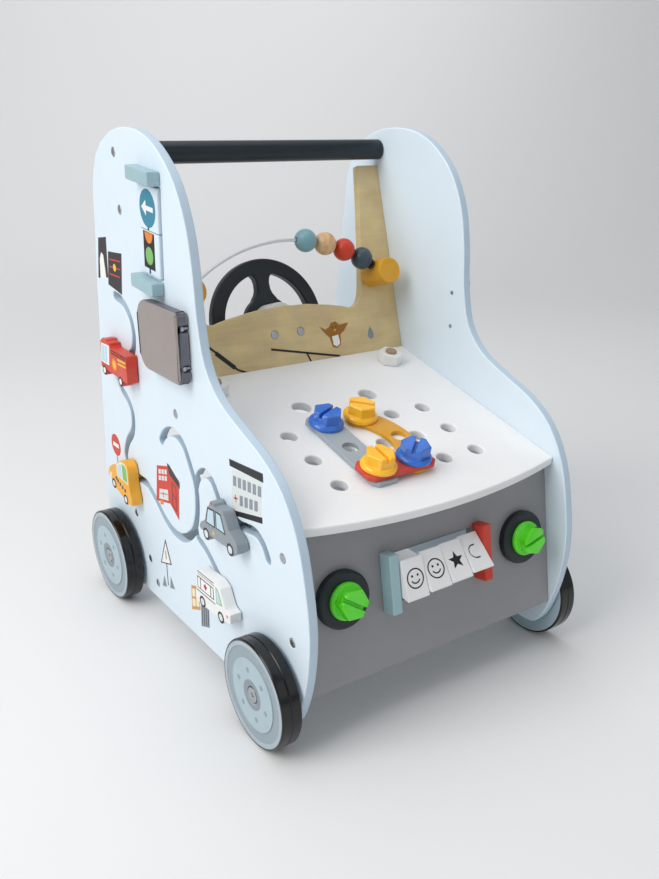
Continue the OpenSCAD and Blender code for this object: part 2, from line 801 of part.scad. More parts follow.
// Hinge pins, and the screw eyes that hold them to the panels
module mirror_hinges() {
    color(steel) for (m = [0, 1]) mirror([m, 0, 0]) {
        translate([mirror_axis_x, mirror_axis_y, mirror_z - 25])
            cylinder(d = hinge_pin_d, h = 50, $fn = 24);
        for (dz = [-mirror_eye_dz, mirror_eye_dz]) translate([0, mirror_axis_y, mirror_z + dz]) {
            translate([inner_x - 0.5, 0, 0]) rotate([0, 90, 0])
                cylinder(d = hinge_pin_d, h = mirror_axis_x - inner_x, $fn = 24);
            translate([mirror_axis_x, 0, -1.8]) cylinder(d = mirror_eye_d, h = 3.6, $fn = 24);
        }
    }
}

// ---- maze vehicles ----

// Vehicle body outside the panel, peg through the slot, disc behind the panel.
// The outline is in (y, z) measured from the peg.
module vehicle(at) {
    plate_x(-face_x - 0.8 - car_t, -face_x - 0.8) translate(at) children();
    translate([-face_x - 0.9, at[0], at[1]]) rotate([0, 90, 0]) cylinder(r = peg_r, h = panel_t + 1.7);
    translate([-inner_x + 0.7, at[0], at[1]]) rotate([0, 90, 0]) cylinder(r = disc_r, h = disc_t);
}

// Wheel discs at the foot of a vehicle's outline
module car_wheels(places, r) {
    for (p = places)
        translate(p) circle(r, $fn = 32);
}

module fire_truck() {
    color([0.85, 0.22, 0.12]) vehicle(truck_at) {
        polygon([[-32, -12], [33, -8.5], [29.5, 18.5], [24, 22], [15, 22.5], [14, 20.5], [6.3, 20],
                 [5.8, 17], [3.8, 16], [-33, 15]]);
        car_wheels([[24.5, -10.6], [-15.3, -13]], 5);
    }
}

module taxi() {
    color(yellow_paint) vehicle(taxi_at) {
        polygon([[45, -8], [40, -0.5], [33, 3.5], [19.5, 8.5], [10, 15], [4, 17.5], [-4, 18],
                 [-8.5, 15.5], [-11, 11], [-11, 5], [-10.5, -5.5], [-12, -14], [-14.5, -19.5],
                 [-14, -27.5], [-3.5, -28.5], [9, -25], [25, -21.5], [37.5, -13], [45, -11]]);
        car_wheels([[30.5, -16.6], [1, -25]], 5.7);
    }
}

module police_car() {
    color([0.45, 0.50, 0.53]) vehicle(police_at) {
        polygon([[44, -17], [41.5, -13], [35, -9], [33, -7.5], [27, 7], [23, 10], [21.5, 13],
                 [19.5, 15], [15, 13.5], [14, 11], [-0.5, 12.5], [-3.5, 10.5], [-11, -2],
                 [-14, -3], [-20.5, -6.5], [-24, -10], [-25, -17], [-16, -22], [-4.5, -19],
                 [18.5, -20], [42.5, -20]]);
        car_wheels([[-12.5, -18.2], [31, -20.6]], 6);
    }
}

module ambulance() {
    color([0.93, 0.93, 0.92]) vehicle(van_at) {
        polygon([[29, 10], [-4.5, 12], [-8.5, 11.5], [-15.5, 8.5], [-23.5, -6], [-27, -8.5],
                 [-32.5, -9.5], [-33, -18.5], [-23, -21.5], [-4.5, -23.5], [15.5, -24.5],
                 [35, -24]]);
        car_wheels([[-15, -20], [20.5, -20.6]], 6);
    }
}

// ---- the whole walker ----

module placed() {
    translate([0, y_mid, 0]) children();
}

placed() left_side_panel();
placed() right_side_panel();
placed() hood_board();
placed() front_board();
placed() windscreen_board();
placed() rear_board();
placed() push_bar();
placed() wood_screws();
placed() wheel_bolts();
placed() wheel_washers();
placed() wheel_nuts();
placed() bead_wire();
placed() bead_posts();
placed() bead_stops();
placed() sign_holders();
placed() spin_rods();
placed() tile_holder_left();
placed() tile_holder_right();
placed() lamp_discs();
placed() toy_nuts();
placed() mirror_hinges();
placed() steering_mount();
placed() strip_straight();
placed() strip_curved();
placed() strip_short();
placed() nut_pegs();
placed() wheel_disc_fl();
placed() wheel_disc_fr();
placed() wheel_disc_rl();
placed() wheel_disc_rr();
placed() tyre_fl();
placed() tyre_fr();
placed() tyre_rl();
placed() tyre_rr();
placed() steering_wheel();
placed() steering_cap();
placed() sign_arrow();
placed() sign_light();
placed() tile_1();
placed() tile_2();
placed() tile_3();
placed() tile_4();
placed() mirror_left();
placed() mirror_right();
placed() bolt_blue_rear();
placed() bolt_yellow_rear();
placed() bolt_yellow_front();
placed() bolt_blue_front();
placed() bolt_green_left();
placed() bolt_green_right();
placed() hex_nut_left();
placed() hex_nut_right();
placed() fire_truck();
placed() taxi();
placed() police_car();
placed() ambulance();
placed() bead_1();
placed() bead_2();
placed() bead_3();
placed() bead_4();
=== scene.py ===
# %% [markdown]
# # A wooden push-along walker, finished piece by piece
# The walker is a box of painted birch boards on four wheels. Children push it by the bar and play with
# what is fixed to it: turning bolts, a bead arch, a steering wheel, sliding vehicles, signs and tiles.
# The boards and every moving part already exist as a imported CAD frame. Here each one gets its rounded
# edges, its paint and its printed pictures, and nothing is moved or resized.

# %% Load the frame
import json
import math
from math import cos, radians, sin

import bmesh
import bpy
from mathutils import Matrix, Vector

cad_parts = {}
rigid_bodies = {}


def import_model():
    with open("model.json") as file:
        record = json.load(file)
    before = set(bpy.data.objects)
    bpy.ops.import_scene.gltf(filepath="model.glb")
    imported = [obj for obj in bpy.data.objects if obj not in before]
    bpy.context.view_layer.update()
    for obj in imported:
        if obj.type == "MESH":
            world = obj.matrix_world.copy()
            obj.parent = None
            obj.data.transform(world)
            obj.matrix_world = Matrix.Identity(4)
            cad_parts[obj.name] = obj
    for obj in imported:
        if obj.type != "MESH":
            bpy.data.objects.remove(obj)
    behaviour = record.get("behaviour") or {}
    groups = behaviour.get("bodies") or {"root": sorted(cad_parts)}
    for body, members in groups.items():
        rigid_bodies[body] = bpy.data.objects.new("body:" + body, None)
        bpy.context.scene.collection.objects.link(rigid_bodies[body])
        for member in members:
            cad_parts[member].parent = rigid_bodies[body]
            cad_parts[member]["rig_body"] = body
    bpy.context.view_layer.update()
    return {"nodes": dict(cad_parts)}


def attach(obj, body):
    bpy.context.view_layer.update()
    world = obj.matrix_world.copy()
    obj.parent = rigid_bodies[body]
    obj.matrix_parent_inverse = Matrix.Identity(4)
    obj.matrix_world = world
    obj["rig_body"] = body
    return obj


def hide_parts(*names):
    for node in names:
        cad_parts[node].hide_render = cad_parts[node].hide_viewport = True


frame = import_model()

NODES = frame["nodes"]

# %% [markdown]
# ## Places on the boards
# A print or a lamp belongs to one board, so its place is given on that board: x across, a distance up
# the board, and a height out of its face. One small function per board turns such a place into the
# walker's own frame. The slopes and origins are the ones the boards were designed with, in millimetres.
# `Y_MID` is the shift that the design applies at the end, so that the whole walker is centred.

# %% Board frames
MM = 0.001
Y_MID = 4.9                      # the walker's own middle, in the frame of the boards below
PANEL_FACE = 151.2               # outer faces of the side panels, left and right of x = 0
BOARDS = {                       # origin y, origin z, slope in degrees
    "screen": (51.9, 266.0, 90 - 15.8),
    "front": (-183.2, 132.0, 90 - 9.65),
}


def on_board(board, x, up, out=0.0):
    """A point x across and `up` the named board, `out` of its face."""
    y0, z0, slope = BOARDS[board]
    c, s = cos(radians(slope)), sin(radians(slope))
    return Vector((x, y0 + up * c - out * s, z0 + up * s + out * c)) * MM


def on_screen(x, up, out=0.0):
    return on_board("screen", x, up, out)


def on_front(x, up, out=0.0):
    return on_board("front", x, up, out)


def on_left_panel(y, z, out=0.0):
    """A point on the decorated outer face of the left panel, y positive towards the back."""
    return Vector((-PANEL_FACE - out, y + Y_MID, z)) * MM


print("windscreen foot:", [round(v, 4) for v in on_screen(0, 0)])

# %% [markdown]
# ## The camera
# A camera is only a matrix and a lens. It stands at the left front corner, a little above the hood, and
# looks down and across. It stands close with a fairly wide lens, so the near wheel looks larger than the
# far one. A small shift of the picture frames the walker without tilting the camera any further.

# %% Camera
view_turn, view_down, view_roll = radians(-37.13), radians(23.86), radians(1.15)
eye = Vector((-476.04, -715.75, 510.48)) * MM
ahead = Vector((-sin(view_turn) * cos(view_down),
                cos(view_turn) * cos(view_down), -sin(view_down)))
level = Vector((cos(view_turn), sin(view_turn), 0))
over = level.cross(ahead)
right = level * cos(view_roll) + over * sin(view_roll)
up = over * cos(view_roll) - level * sin(view_roll)
camera_data = bpy.data.cameras.new("studio_camera")
camera_data.sensor_fit = "VERTICAL"
camera_data.sensor_height = 36
camera_data.lens = 36.86
camera_data.shift_x = -0.04867
camera_data.shift_y = 0.07123
camera_data.clip_start, camera_data.clip_end = 0.02, 40
camera = bpy.data.objects.new("studio_camera", camera_data)
turn = Matrix((right, up, -ahead)).transposed().to_4x4()
camera.matrix_world = Matrix.Translation(eye) @ turn
bpy.context.scene.collection.objects.link(camera)
bpy.context.scene.camera = camera
print("camera at", [round(v, 3) for v in eye], "lens", camera_data.lens)

# %% [markdown]
# ## The studio
# A paper sweep is one sheet: flat under the walker, then curved up behind it, so no line shows where
# the floor ends. A big soft lamp on the left stands for a window, a second one hangs overhead, and a
# weak one fills the front. The last lamp stands behind the walker and looks away from it, so that it
# lights only the paper. The scene keeps plain display colours, so a paint looks the way its numbers say.

# %% Paper sweep and lamps
def link(obj):
    bpy.context.scene.collection.objects.link(obj)
    return obj


def paper_sweep(reach, rise, bend):
    """A sheet flat at z = 0 that curves up at the back, its strips running side to side."""
    bm = bmesh.new()
    section = [(-reach, 0.0), (reach * 0.35, 0.0)]
    for k in range(1, 17):
        a = radians(90 * k / 16)
        section.append((reach * 0.35 + bend * sin(a), bend * (1 - cos(a))))
    section.append((section[-1][0], rise))
    rows = [[bm.verts.new((x, y, z)) for x in (-reach, reach)] for y, z in section]
    for a, b in zip(rows, rows[1:]):
        bm.faces.new((a[0], a[1], b[1], b[0]))
    mesh = bpy.data.meshes.new("paper_sweep")
    bm.to_mesh(mesh)
    bm.free()
    for poly in mesh.polygons:
        poly.use_smooth = True
    return link(bpy.data.objects.new("paper_sweep", mesh))


sweep = paper_sweep(5.0, 4.0, 1.2)
sweep.rotation_euler = (0, 0, radians(-37))


def soft_lamp(name, place, aim, size, power, tint):
    """A rectangular lamp at `place` that looks at `aim`; size in metres, power in watts."""
    data = bpy.data.lights.new(name, "AREA")
    data.shape = "RECTANGLE"
    data.size, data.size_y = size
    data.energy = power
    data.color = tint
    lamp = link(bpy.data.objects.new(name, data))
    lamp.location = place
    lamp.rotation_euler = (Vector(aim) - Vector(place)).to_track_quat("-Z", "Y").to_euler()
    return lamp


soft_lamp("window_lamp", (-1.9, -0.1, 1.7), (0, 0, 0.2), (1.6, 1.6), 36, (1.0, 0.985, 0.965))
soft_lamp("ceiling_lamp", (-0.1, 0.3, 2.4), (0, 0, 0.1), (2.4, 2.4), 21, (0.97, 0.985, 1.0))
soft_lamp("fill_lamp", (0.5, -2.4, 1.2), (0, 0, 0.2), (1.8, 1.4), 3, (1.0, 0.99, 0.97))
soft_lamp("sweep_lamp", (0.2, 1.7, 2.0), (0.2, 5.0, 1.3), (3.6, 1.6), 15, (1.0, 1.0, 1.0))
world = bpy.data.worlds.new("studio_air")
bpy.context.scene.world = world
world.use_nodes = True
world.node_tree.nodes["Background"].inputs["Color"].default_value = (0.93, 0.96, 1.0, 1)
world.node_tree.nodes["Background"].inputs["Strength"].default_value = 0.42
bpy.context.scene.view_settings.view_transform = "Standard"

# %% [markdown]
# ## Shared effects
# Several finishes on the walker share an effect, so each effect is built once as a node group and
# placed in each material with its own values:
# - **sprayed coat**: lacquer over wood is never quite even. A slow noise shifts the tone, and a fine
#   one gives the skin its faint orange peel and the grain that still telegraphs through the paint.
# - **wood grain**: rings stretched along one direction, with fine pores.
# - **rubbed rim**: the rounded edges carry a little less paint. The edges are marked on the mesh by an
#   attribute, and the group turns the mark into a lighter or darker tone.

# %% Node helpers and the three groups
def srgb(r, g, b):
    """A display colour (0 to 255) as the linear colour a shader wants."""
    def lin(v):
        v = v / 255
        return v / 12.92 if v <= 0.04045 else ((v + 0.055) / 1.055) ** 2.4
    return (lin(r), lin(g), lin(b), 1.0)


def new_group(name, inputs, outputs):
    """An empty shader group with named sockets, and its input and output nodes."""
    tree = bpy.data.node_groups.new(name, "ShaderNodeTree")
    for label, kind, value in inputs:
        socket = tree.interface.new_socket(name=label, in_out="INPUT", socket_type=kind)
        if value is not None:
            socket.default_value = value
    for label, kind in outputs:
        tree.interface.new_socket(name=label, in_out="OUTPUT", socket_type=kind)
    return tree, tree.nodes.new("NodeGroupInput"), tree.nodes.new("NodeGroupOutput")


def node(tree, kind, links=(), **settings):
    """A node with its settings, its inputs given by name as a value or as another socket."""
    n = tree.nodes.new(kind)
    for key, value in settings.items():
        setattr(n, key, value)
    for key, value in dict(links).items():
        if isinstance(value, bpy.types.NodeSocket):
            tree.links.new(value, n.inputs[key])
        else:
            n.inputs[key].default_value = value
    return n


def math_node(tree, operation, a, b):
    return node(tree, "ShaderNodeMath", {0: a, 1: b}, operation=operation).outputs[0]


def noise(tree, place, scale, detail):
    n = node(tree, "ShaderNodeTexNoise", {"Vector": place, "Scale": scale, "Detail": detail})
    return n.outputs[0]


def blend_colour(tree, factor, a, b):
    n = node(tree, "ShaderNodeMix", {0: factor}, data_type="RGBA")
    for socket, value in ((n.inputs[6], a), (n.inputs[7], b)):
        if isinstance(value, bpy.types.NodeSocket):
            tree.links.new(value, socket)
        else:
            socket.default_value = value
    return n.outputs[2]


COLOUR, NUMBER, VECTOR = "NodeSocketColor", "NodeSocketFloat", "NodeSocketVector"

coat, c_in, c_out = new_group(
    "sprayed_coat",
    [("Paint", COLOUR, (0.8, 0.8, 0.8, 1)), ("Tone shift", NUMBER, 0.05), ("Gloss low", NUMBER, 0.34),
     ("Gloss high", NUMBER, 0.46), ("Place", VECTOR, None), ("Grain", NUMBER, 0.3)],
    [("Color", COLOUR), ("Roughness", NUMBER), ("Height", NUMBER)])
slow = noise(coat, c_in.outputs["Place"], 9.0, 3.0)
peel = noise(coat, c_in.outputs["Place"], 620.0, 2.0)
along = node(coat, "ShaderNodeMapping", {"Vector": c_in.outputs["Place"], "Scale": (900, 900, 26)})
fibre = noise(coat, along.outputs[0], 1.0, 3.0)
dark = node(coat, "ShaderNodeHueSaturation", {"Value": 0.86, "Color": c_in.outputs["Paint"]})
amount = math_node(coat, "MULTIPLY", slow, math_node(
    coat, "MULTIPLY", c_in.outputs["Tone shift"], 4.0))
coat.links.new(blend_colour(coat, amount, c_in.outputs["Paint"], dark.outputs[0]), c_out.inputs["Color"])
gloss = node(coat, "ShaderNodeMapRange", {
    "Value": slow, 1: 0.3, 2: 0.7, 3: c_in.outputs["Gloss low"], 4: c_in.outputs["Gloss high"]})
coat.links.new(gloss.outputs[0], c_out.inputs["Roughness"])
skin = math_node(coat, "ADD", math_node(coat, "MULTIPLY", peel, 0.5),
                 math_node(coat, "MULTIPLY", fibre, c_in.outputs["Grain"]))
coat.links.new(skin, c_out.inputs["Height"])

grain, g_in, g_out = new_group(
    "wood_grain",
    [("Place", VECTOR, None), ("Light wood", COLOUR, None), ("Dark wood", COLOUR, None),
     ("Ring scale", NUMBER, 60.0), ("Figure", NUMBER, 0.6)],
    [("Color", COLOUR), ("Roughness", NUMBER), ("Height", NUMBER)])
wander = noise(grain, g_in.outputs["Place"], 3.0, 4.0)
rings = node(grain, "ShaderNodeTexWave", {
    "Vector": g_in.outputs["Place"], "Scale": g_in.outputs["Ring scale"], "Distortion": 7.0,
    "Detail": 3.0, "Detail Scale": 1.4}, bands_direction="X")
pores = noise(grain, g_in.outputs["Place"], 26.0, 6.0)
mask = math_node(grain, "MULTIPLY", math_node(grain, "MULTIPLY", rings.outputs[1], wander),
                 g_in.outputs["Figure"])
mask = math_node(grain, "ADD", mask, math_node(grain, "MULTIPLY", pores, 0.35))
grain.links.new(blend_colour(grain, mask, g_in.outputs["Light wood"], g_in.outputs["Dark wood"]),
                g_out.inputs["Color"])
grain.links.new(math_node(grain, "ADD", math_node(grain, "MULTIPLY", mask, 0.2), 0.42),
                g_out.inputs["Roughness"])
grain.links.new(mask, g_out.inputs["Height"])

rim, r_in, r_out = new_group(
    "rubbed_rim", [("Color", COLOUR, None), ("Rim tone", NUMBER, 1.08), ("Amount", NUMBER, 0.5)],
    [("Color", COLOUR)])
mark = node(rim, "ShaderNodeAttribute", attribute_name="rim")
breakup = node(rim, "ShaderNodeTexNoise", {
    "Vector": node(rim, "ShaderNodeTexCoord").outputs["Object"], "Scale": 55.0, "Detail": 4.0})
patchy = node(rim, "ShaderNodeMapRange", {"Value": breakup.outputs[0], 1: 0.35, 2: 0.65})
wear = math_node(rim, "MULTIPLY", math_node(rim, "MULTIPLY", mark.outputs["Fac"], patchy.outputs[0]),
                 r_in.outputs["Amount"])
toned = node(rim, "ShaderNodeHueSaturation", {"Value": r_in.outputs["Rim tone"],
                                              "Saturation": 0.9, "Color": r_in.outputs["Color"]})
rim.links.new(blend_colour(rim, wear, r_in.outputs["Color"], toned.outputs[0]), r_out.inputs["Color"])
print("groups:", [g.name for g in bpy.data.node_groups])

# %% [markdown]
# ## Paints, woods, metal and rubber
# A maker orders a finish by name. `paint` is sprayed lacquer on wood, `print_ink` is the flat ink of a
# picture, `moulding` is smooth plastic, `bare_wood` shows its grain, and metal and rubber have their
# own. What is the same all over a surface stays on the shader itself, and what varies comes from the
# groups.

# %% Finish makers
def start_material(name, colour):
    """A new material, with its tree, its shader and the object coordinates."""
    mat = bpy.data.materials.new(name)
    mat.use_nodes = True
    mat.diffuse_color = colour
    tree = mat.node_tree
    shader = tree.nodes["Principled BSDF"]
    place = tree.nodes.new("ShaderNodeTexCoord").outputs["Object"]
    return mat, tree, shader, place


def use_group(tree, group, **values):
    """The group in this material, with values or sockets by input name (_ for a space)."""
    n = tree.nodes.new("ShaderNodeGroup")
    n.node_tree = group
    for key, value in values.items():
        label = key.replace("_", " ")
        if isinstance(value, bpy.types.NodeSocket):
            tree.links.new(value, n.inputs[label])
        else:
            n.inputs[label].default_value = value
    return n


def bump(tree, shader, height, strength, distance):
    b = node(tree, "ShaderNodeBump", {"Height": height, "Strength": strength, "Distance": distance})
    tree.links.new(b.outputs[0], shader.inputs["Normal"])


def wear_film(tree, shader, film, colour, strength, distance=0.0002, shine=0.5):
    """The shader takes a film's roughness and bumps, and the colour of the given socket."""
    tree.links.new(colour, shader.inputs["Base Color"])
    tree.links.new(film.outputs["Roughness"], shader.inputs["Roughness"])
    bump(tree, shader, film.outputs["Height"], strength, distance)
    shader.inputs["Specular IOR Level"].default_value = shine


def paint(name, colour, gloss=(0.34, 0.46), tone=0.05, grain_show=0.3, rim_tone=1.08):
    """Sprayed lacquer on a sanded board or turning."""
    mat, tree, shader, place = start_material(name, colour)
    film = use_group(tree, coat, Paint=colour, Tone_shift=tone, Gloss_low=gloss[0],
                     Gloss_high=gloss[1], Place=place, Grain=grain_show)
    worn = use_group(tree, rim, Color=film.outputs["Color"], Rim_tone=rim_tone, Amount=0.5)
    wear_film(tree, shader, film, worn.outputs[0], 0.18, 0.0003, shine=0.4)
    return mat


def print_ink(name, colour):
    """Flat ink of a printed picture, with a slightly uneven film."""
    mat, tree, shader, place = start_material(name, colour)
    film = use_group(tree, coat, Paint=colour, Tone_shift=0.03, Gloss_low=0.42, Gloss_high=0.55,
                     Place=place, Grain=0.15)
    wear_film(tree, shader, film, film.outputs["Color"], 0.08, shine=0.35)
    return mat


def moulding(name, colour, gloss=(0.13, 0.22)):
    """Injection-moulded plastic: saturated, glossy, lighter where it is rubbed."""
    mat, tree, shader, place = start_material(name, colour)
    film = use_group(tree, coat, Paint=colour, Tone_shift=0.04, Gloss_low=gloss[0],
                     Gloss_high=gloss[1], Place=place, Grain=0.0)
    worn = use_group(tree, rim, Color=film.outputs["Color"], Rim_tone=1.15, Amount=0.5)
    wear_film(tree, shader, film, worn.outputs[0], 0.1, shine=0.55)
    return mat


def bare_wood(name, light, dark_wood, stretch, ring, figure):
    """Clear-lacquered wood, its grain stretched along the piece."""
    mat, tree, shader, place = start_material(name, light)
    along = node(tree, "ShaderNodeMapping", {"Vector": place, "Scale": stretch})
    wood = use_group(tree, grain, Place=along.outputs[0], Light_wood=light, Dark_wood=dark_wood,
                     Ring_scale=ring, Figure=figure)
    worn = use_group(tree, rim, Color=wood.outputs["Color"], Rim_tone=0.86, Amount=0.8)
    wear_film(tree, shader, wood, worn.outputs[0], 0.2, 0.0003)
    shader.inputs["Coat Weight"].default_value = 0.15
    shader.inputs["Coat Roughness"].default_value = 0.3
    return mat


def bright_metal(name, colour, rough=0.25):
    """Zinc-plated steel with fine turning marks."""
    mat, tree, shader, place = start_material(name, colour)
    marks = noise(tree, place, 500.0, 3.0)
    spread = node(tree, "ShaderNodeMapRange", {"Value": marks, 3: rough, 4: rough + 0.2})
    tint = blend_colour(tree, marks, colour, tuple(c * 0.8 for c in colour[:3]) + (1,))
    tree.links.new(tint, shader.inputs["Base Color"])
    tree.links.new(spread.outputs[0], shader.inputs["Roughness"])
    bump(tree, shader, marks, 0.1, 0.0001)
    shader.inputs["Metallic"].default_value = 1.0
    return mat


def rubber(name, colour, gloss=(0.3, 0.5), bloom_top=0.12):
    """Tyre rubber: nearly black, a broad sheen and a faint bloom."""
    mat, tree, shader, place = start_material(name, colour)
    film = use_group(tree, coat, Paint=colour, Tone_shift=0.1, Gloss_low=gloss[0],
                     Gloss_high=gloss[1], Place=place, Grain=0.0)
    bloom = blend_colour(tree, node(tree, "ShaderNodeMapRange", {
        "Value": film.outputs["Height"], 1: 0.2, 2: 0.36, 3: 0.0, 4: bloom_top}).outputs[0],
        film.outputs["Color"], srgb(62, 64, 66))
    wear_film(tree, shader, film, bloom, 0.25, 0.0003)
    return mat


# %% The walker's own finishes
M = {
    "pale_blue": paint("pale_blue_paint", srgb(222, 236, 246), rim_tone=0.97),
    # the panel's pale blue darkened: painted shade for the edges and slot walls that face away from the
    # lamps
    "panel_edge_shade": paint("panel_edge_shade_paint", srgb(190, 210, 226), rim_tone=1.04),
    "white": paint("hood_white_paint", srgb(240, 240, 240), rim_tone=0.97),
    "grey": paint("front_grey_paint", srgb(146, 146, 149), rim_tone=1.05),
    "slate": paint("slate_paint", srgb(30, 38, 43), gloss=(0.36, 0.48), rim_tone=1.5),
    "bar": paint("push_bar_paint", srgb(22, 34, 42), gloss=(0.3, 0.4), rim_tone=1.3, grain_show=0.5),
    "blue_grey": paint("blue_grey_paint", srgb(156, 186, 194)),
    "red": paint("red_paint", srgb(206, 58, 40)),
    "ochre": paint("ochre_paint", srgb(216, 156, 18)),
    "taupe": paint("mirror_paint", srgb(150, 140, 136), rim_tone=1.06),
    "bead_blue": paint("bead_blue_paint", srgb(122, 164, 172), gloss=(0.26, 0.36)),
    "bead_red": paint("bead_red_paint", srgb(200, 60, 34), gloss=(0.26, 0.36)),
    "bead_slate": paint("bead_slate_paint", srgb(58, 76, 84), gloss=(0.26, 0.36)),
    "truck": paint("truck_red_paint", srgb(206, 58, 34)),
    "taxi": paint("taxi_yellow_paint", srgb(238, 168, 26)),
    "police": paint("police_grey_paint", srgb(140, 150, 156)),
    "van": paint("van_white_paint", srgb(240, 240, 238), rim_tone=0.96),
    "wheel_rim": paint("wheel_rim_paint", srgb(168, 182, 190)),
    "wheel_face": paint("wheel_face_paint", srgb(168, 188, 196)),
    "wheel_ring": print_ink("wheel_ring_ink", srgb(150, 164, 172)),
    "strip_grey": paint("strip_grey_paint", srgb(162, 172, 178)),
    "toy_blue": moulding("toy_blue_plastic", srgb(46, 110, 206)),
    "toy_yellow": moulding("toy_yellow_plastic", srgb(255, 190, 4)),
    "toy_green": moulding("toy_green_plastic", srgb(84, 222, 8)),
    "toy_white": moulding("toy_white_plastic", srgb(228, 228, 226)),
    "ply": bare_wood("birch_plywood", srgb(226, 204, 148), srgb(188, 154, 104),
                     stretch=(1.2, 9, 14), ring=2.4, figure=0.5),
    "beech": bare_wood("bead_beech", srgb(226, 190, 142), srgb(178, 128, 80),
                       stretch=(14, 14, 60), ring=3.0, figure=0.7),
    "end_grain": bare_wood("peg_end_grain", srgb(190, 162, 128), srgb(124, 94, 66),
                           stretch=(60, 60, 10), ring=6.0, figure=0.8),
    "steel": bright_metal("zinc_steel", (0.52, 0.53, 0.55, 1)),
    "wire": bright_metal("bead_wire_steel", (0.8, 0.82, 0.85, 1), rough=0.32),
    "tyre": rubber("tyre_rubber", srgb(5, 6, 8), gloss=(0.1, 0.18), bloom_top=0.0),
    "stop": rubber("stop_rubber", srgb(18, 18, 20)),
}
print("finishes:", len(M))

# %% [markdown]
# ## Rounding a cut board
# A routed board has a flat face, a rounded-over edge and then its side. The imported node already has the
# cut shape, as loose triangles with knife edges. `dress` takes a copy, merges it, makes each flat face
# whole again, rounds the sharp edges by a router's radius, and marks the rounded strips with the `rim`
# attribute that the finishes read. The frame's own mesh is never touched: the new piece replaces it.

# %% Dress a node
def merged_copy(name):
    """The node's mesh as a bmesh, with doubled points merged and flat faces made whole."""
    bm = bmesh.new()
    bm.from_mesh(NODES[name].data)
    bmesh.ops.remove_doubles(bm, verts=bm.verts, dist=4e-6)
    bmesh.ops.dissolve_limit(bm, angle_limit=radians(0.6), verts=bm.verts, edges=bm.edges)
    return bm


EDGE_ANGLE, EDGE_STEPS = radians(35), 3


def round_edges(bm, width):
    """Rounds the edges sharper than EDGE_ANGLE, and marks the new strips."""
    marked = bm.faces.layers.float.get("rim_face") or bm.faces.layers.float.new("rim_face")
    edges = [e for e in bm.edges if len(e.link_faces) == 2
             and e.calc_face_angle(0) > EDGE_ANGLE]
    if not edges:
        return
    done = bmesh.ops.bevel(bm, geom=edges, offset=width * MM, offset_type="OFFSET", segments=EDGE_STEPS,
                           profile=0.5, affect="EDGES", clamp_overlap=False, miter_outer="ARC")
    for face in done["faces"]:
        face[marked] = 1.0


def finish_mesh(name, bm, finishes, choose=None, angle=40):
    """Turns the bmesh into an object with its finishes, smooth shading and the rim attribute."""
    marked = bm.faces.layers.float.get("rim_face") or bm.faces.layers.float.new("rim_face")
    bmesh.ops.dissolve_degenerate(bm, edges=bm.edges, dist=1e-6)
    bm.normal_update()
    if choose:
        for face in bm.faces:
            face.material_index = choose(face)
    mesh = bpy.data.meshes.new(name)
    flags = [f[marked] for f in bm.faces]
    bm.to_mesh(mesh)
    bm.free()
    if "rim_face" in mesh.attributes:
        mesh.attributes.remove(mesh.attributes["rim_face"])
    value = [0.0] * len(mesh.vertices)
    for poly, flag in zip(mesh.polygons, flags):
        if flag:
            for v in poly.vertices:
                value[v] = 1.0
    layer = mesh.attributes.new("rim", "FLOAT", "POINT")
    layer.data.foreach_set("value", value)
    for finish in finishes:
        mesh.materials.append(finish)
    mesh.shade_smooth()
    mesh.set_sharp_from_angle(angle=radians(angle))
    obj = link(bpy.data.objects.new(name, mesh))
    even = obj.modifiers.new("even_shading", "WEIGHTED_NORMAL")
    even.keep_sharp = True
    even.weight = 80
    return obj


def dress(cad_name, finishes, width=0.8, choose=None):
    """A rounded, painted copy of one CAD node, riding on the node's own body."""
    finishes = finishes if isinstance(finishes, list) else [finishes]
    bm = merged_copy(cad_name)
    round_edges(bm, width)
    obj = finish_mesh("finished_" + cad_name, bm, finishes, choose)
    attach(obj, NODES[cad_name]["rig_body"])
    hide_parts(cad_name)
    return obj


# %% [markdown]
# ## The painted boards
# Both side panels are pale blue. Their edges and slot walls, the faces that look neither left nor right,
# get a darker, greyer tone: painted shade, as these faces turn away from the lamps. The hood is white,
# the front board grey, and the windscreen board is clear-lacquered plywood.

# %% Panels and boards
# the faces that get the painted shade: edges and slot walls, which look neither left nor right
def shaded_edge_of_panel(face):
    return 1 if abs(face.normal.x) < 0.5 else 0


for cad_name in ("left_side_panel", "right_side_panel"):
    dress(cad_name, [M["pale_blue"], M["panel_edge_shade"]], width=1.4,
          choose=shaded_edge_of_panel)
dress("hood_board", M["white"], width=1.6)
dress("front_board", M["grey"], width=1.0)
dress("windscreen_board", M["ply"], width=1.2)
dress("rear_board", M["pale_blue"], width=1.2)
dress("push_bar", M["bar"], width=1.5)

# %% [markdown]
# ## Screws
# Every board is held by the same countersunk cross-head screw, so this is work for Geometry Nodes: one
# screw head is modelled, and the tree sets it on a cloud of points, turned to each point's own normal
# and by a seeded angle, as a screwdriver leaves them. The sizes are named inputs.

# %% Screws by Geometry Nodes
def points_object(name, places, normals):
    """A cloud of points, each with the direction that it faces as the attribute "facing"."""
    mesh = bpy.data.meshes.new(name)
    mesh.from_pydata(places, [], [])
    layer = mesh.attributes.new("facing", "FLOAT_VECTOR", "POINT")
    layer.data.foreach_set("vector", [c for n in normals for c in n])
    return link(bpy.data.objects.new(name, mesh))


def gn_tree(name, inputs):
    """An empty Geometry Nodes tree with named inputs, and its input and output nodes."""
    tree = bpy.data.node_groups.new(name, "GeometryNodeTree")
    tree.interface.new_socket(name="Geometry", in_out="INPUT", socket_type="NodeSocketGeometry")
    for label, kind, value in inputs:
        socket = tree.interface.new_socket(name=label, in_out="INPUT", socket_type=kind)
        if value is not None:
            socket.default_value = value
    tree.interface.new_socket(name="Geometry", in_out="OUTPUT", socket_type="NodeSocketGeometry")
    return tree, tree.nodes.new("NodeGroupInput"), tree.nodes.new("NodeGroupOutput")


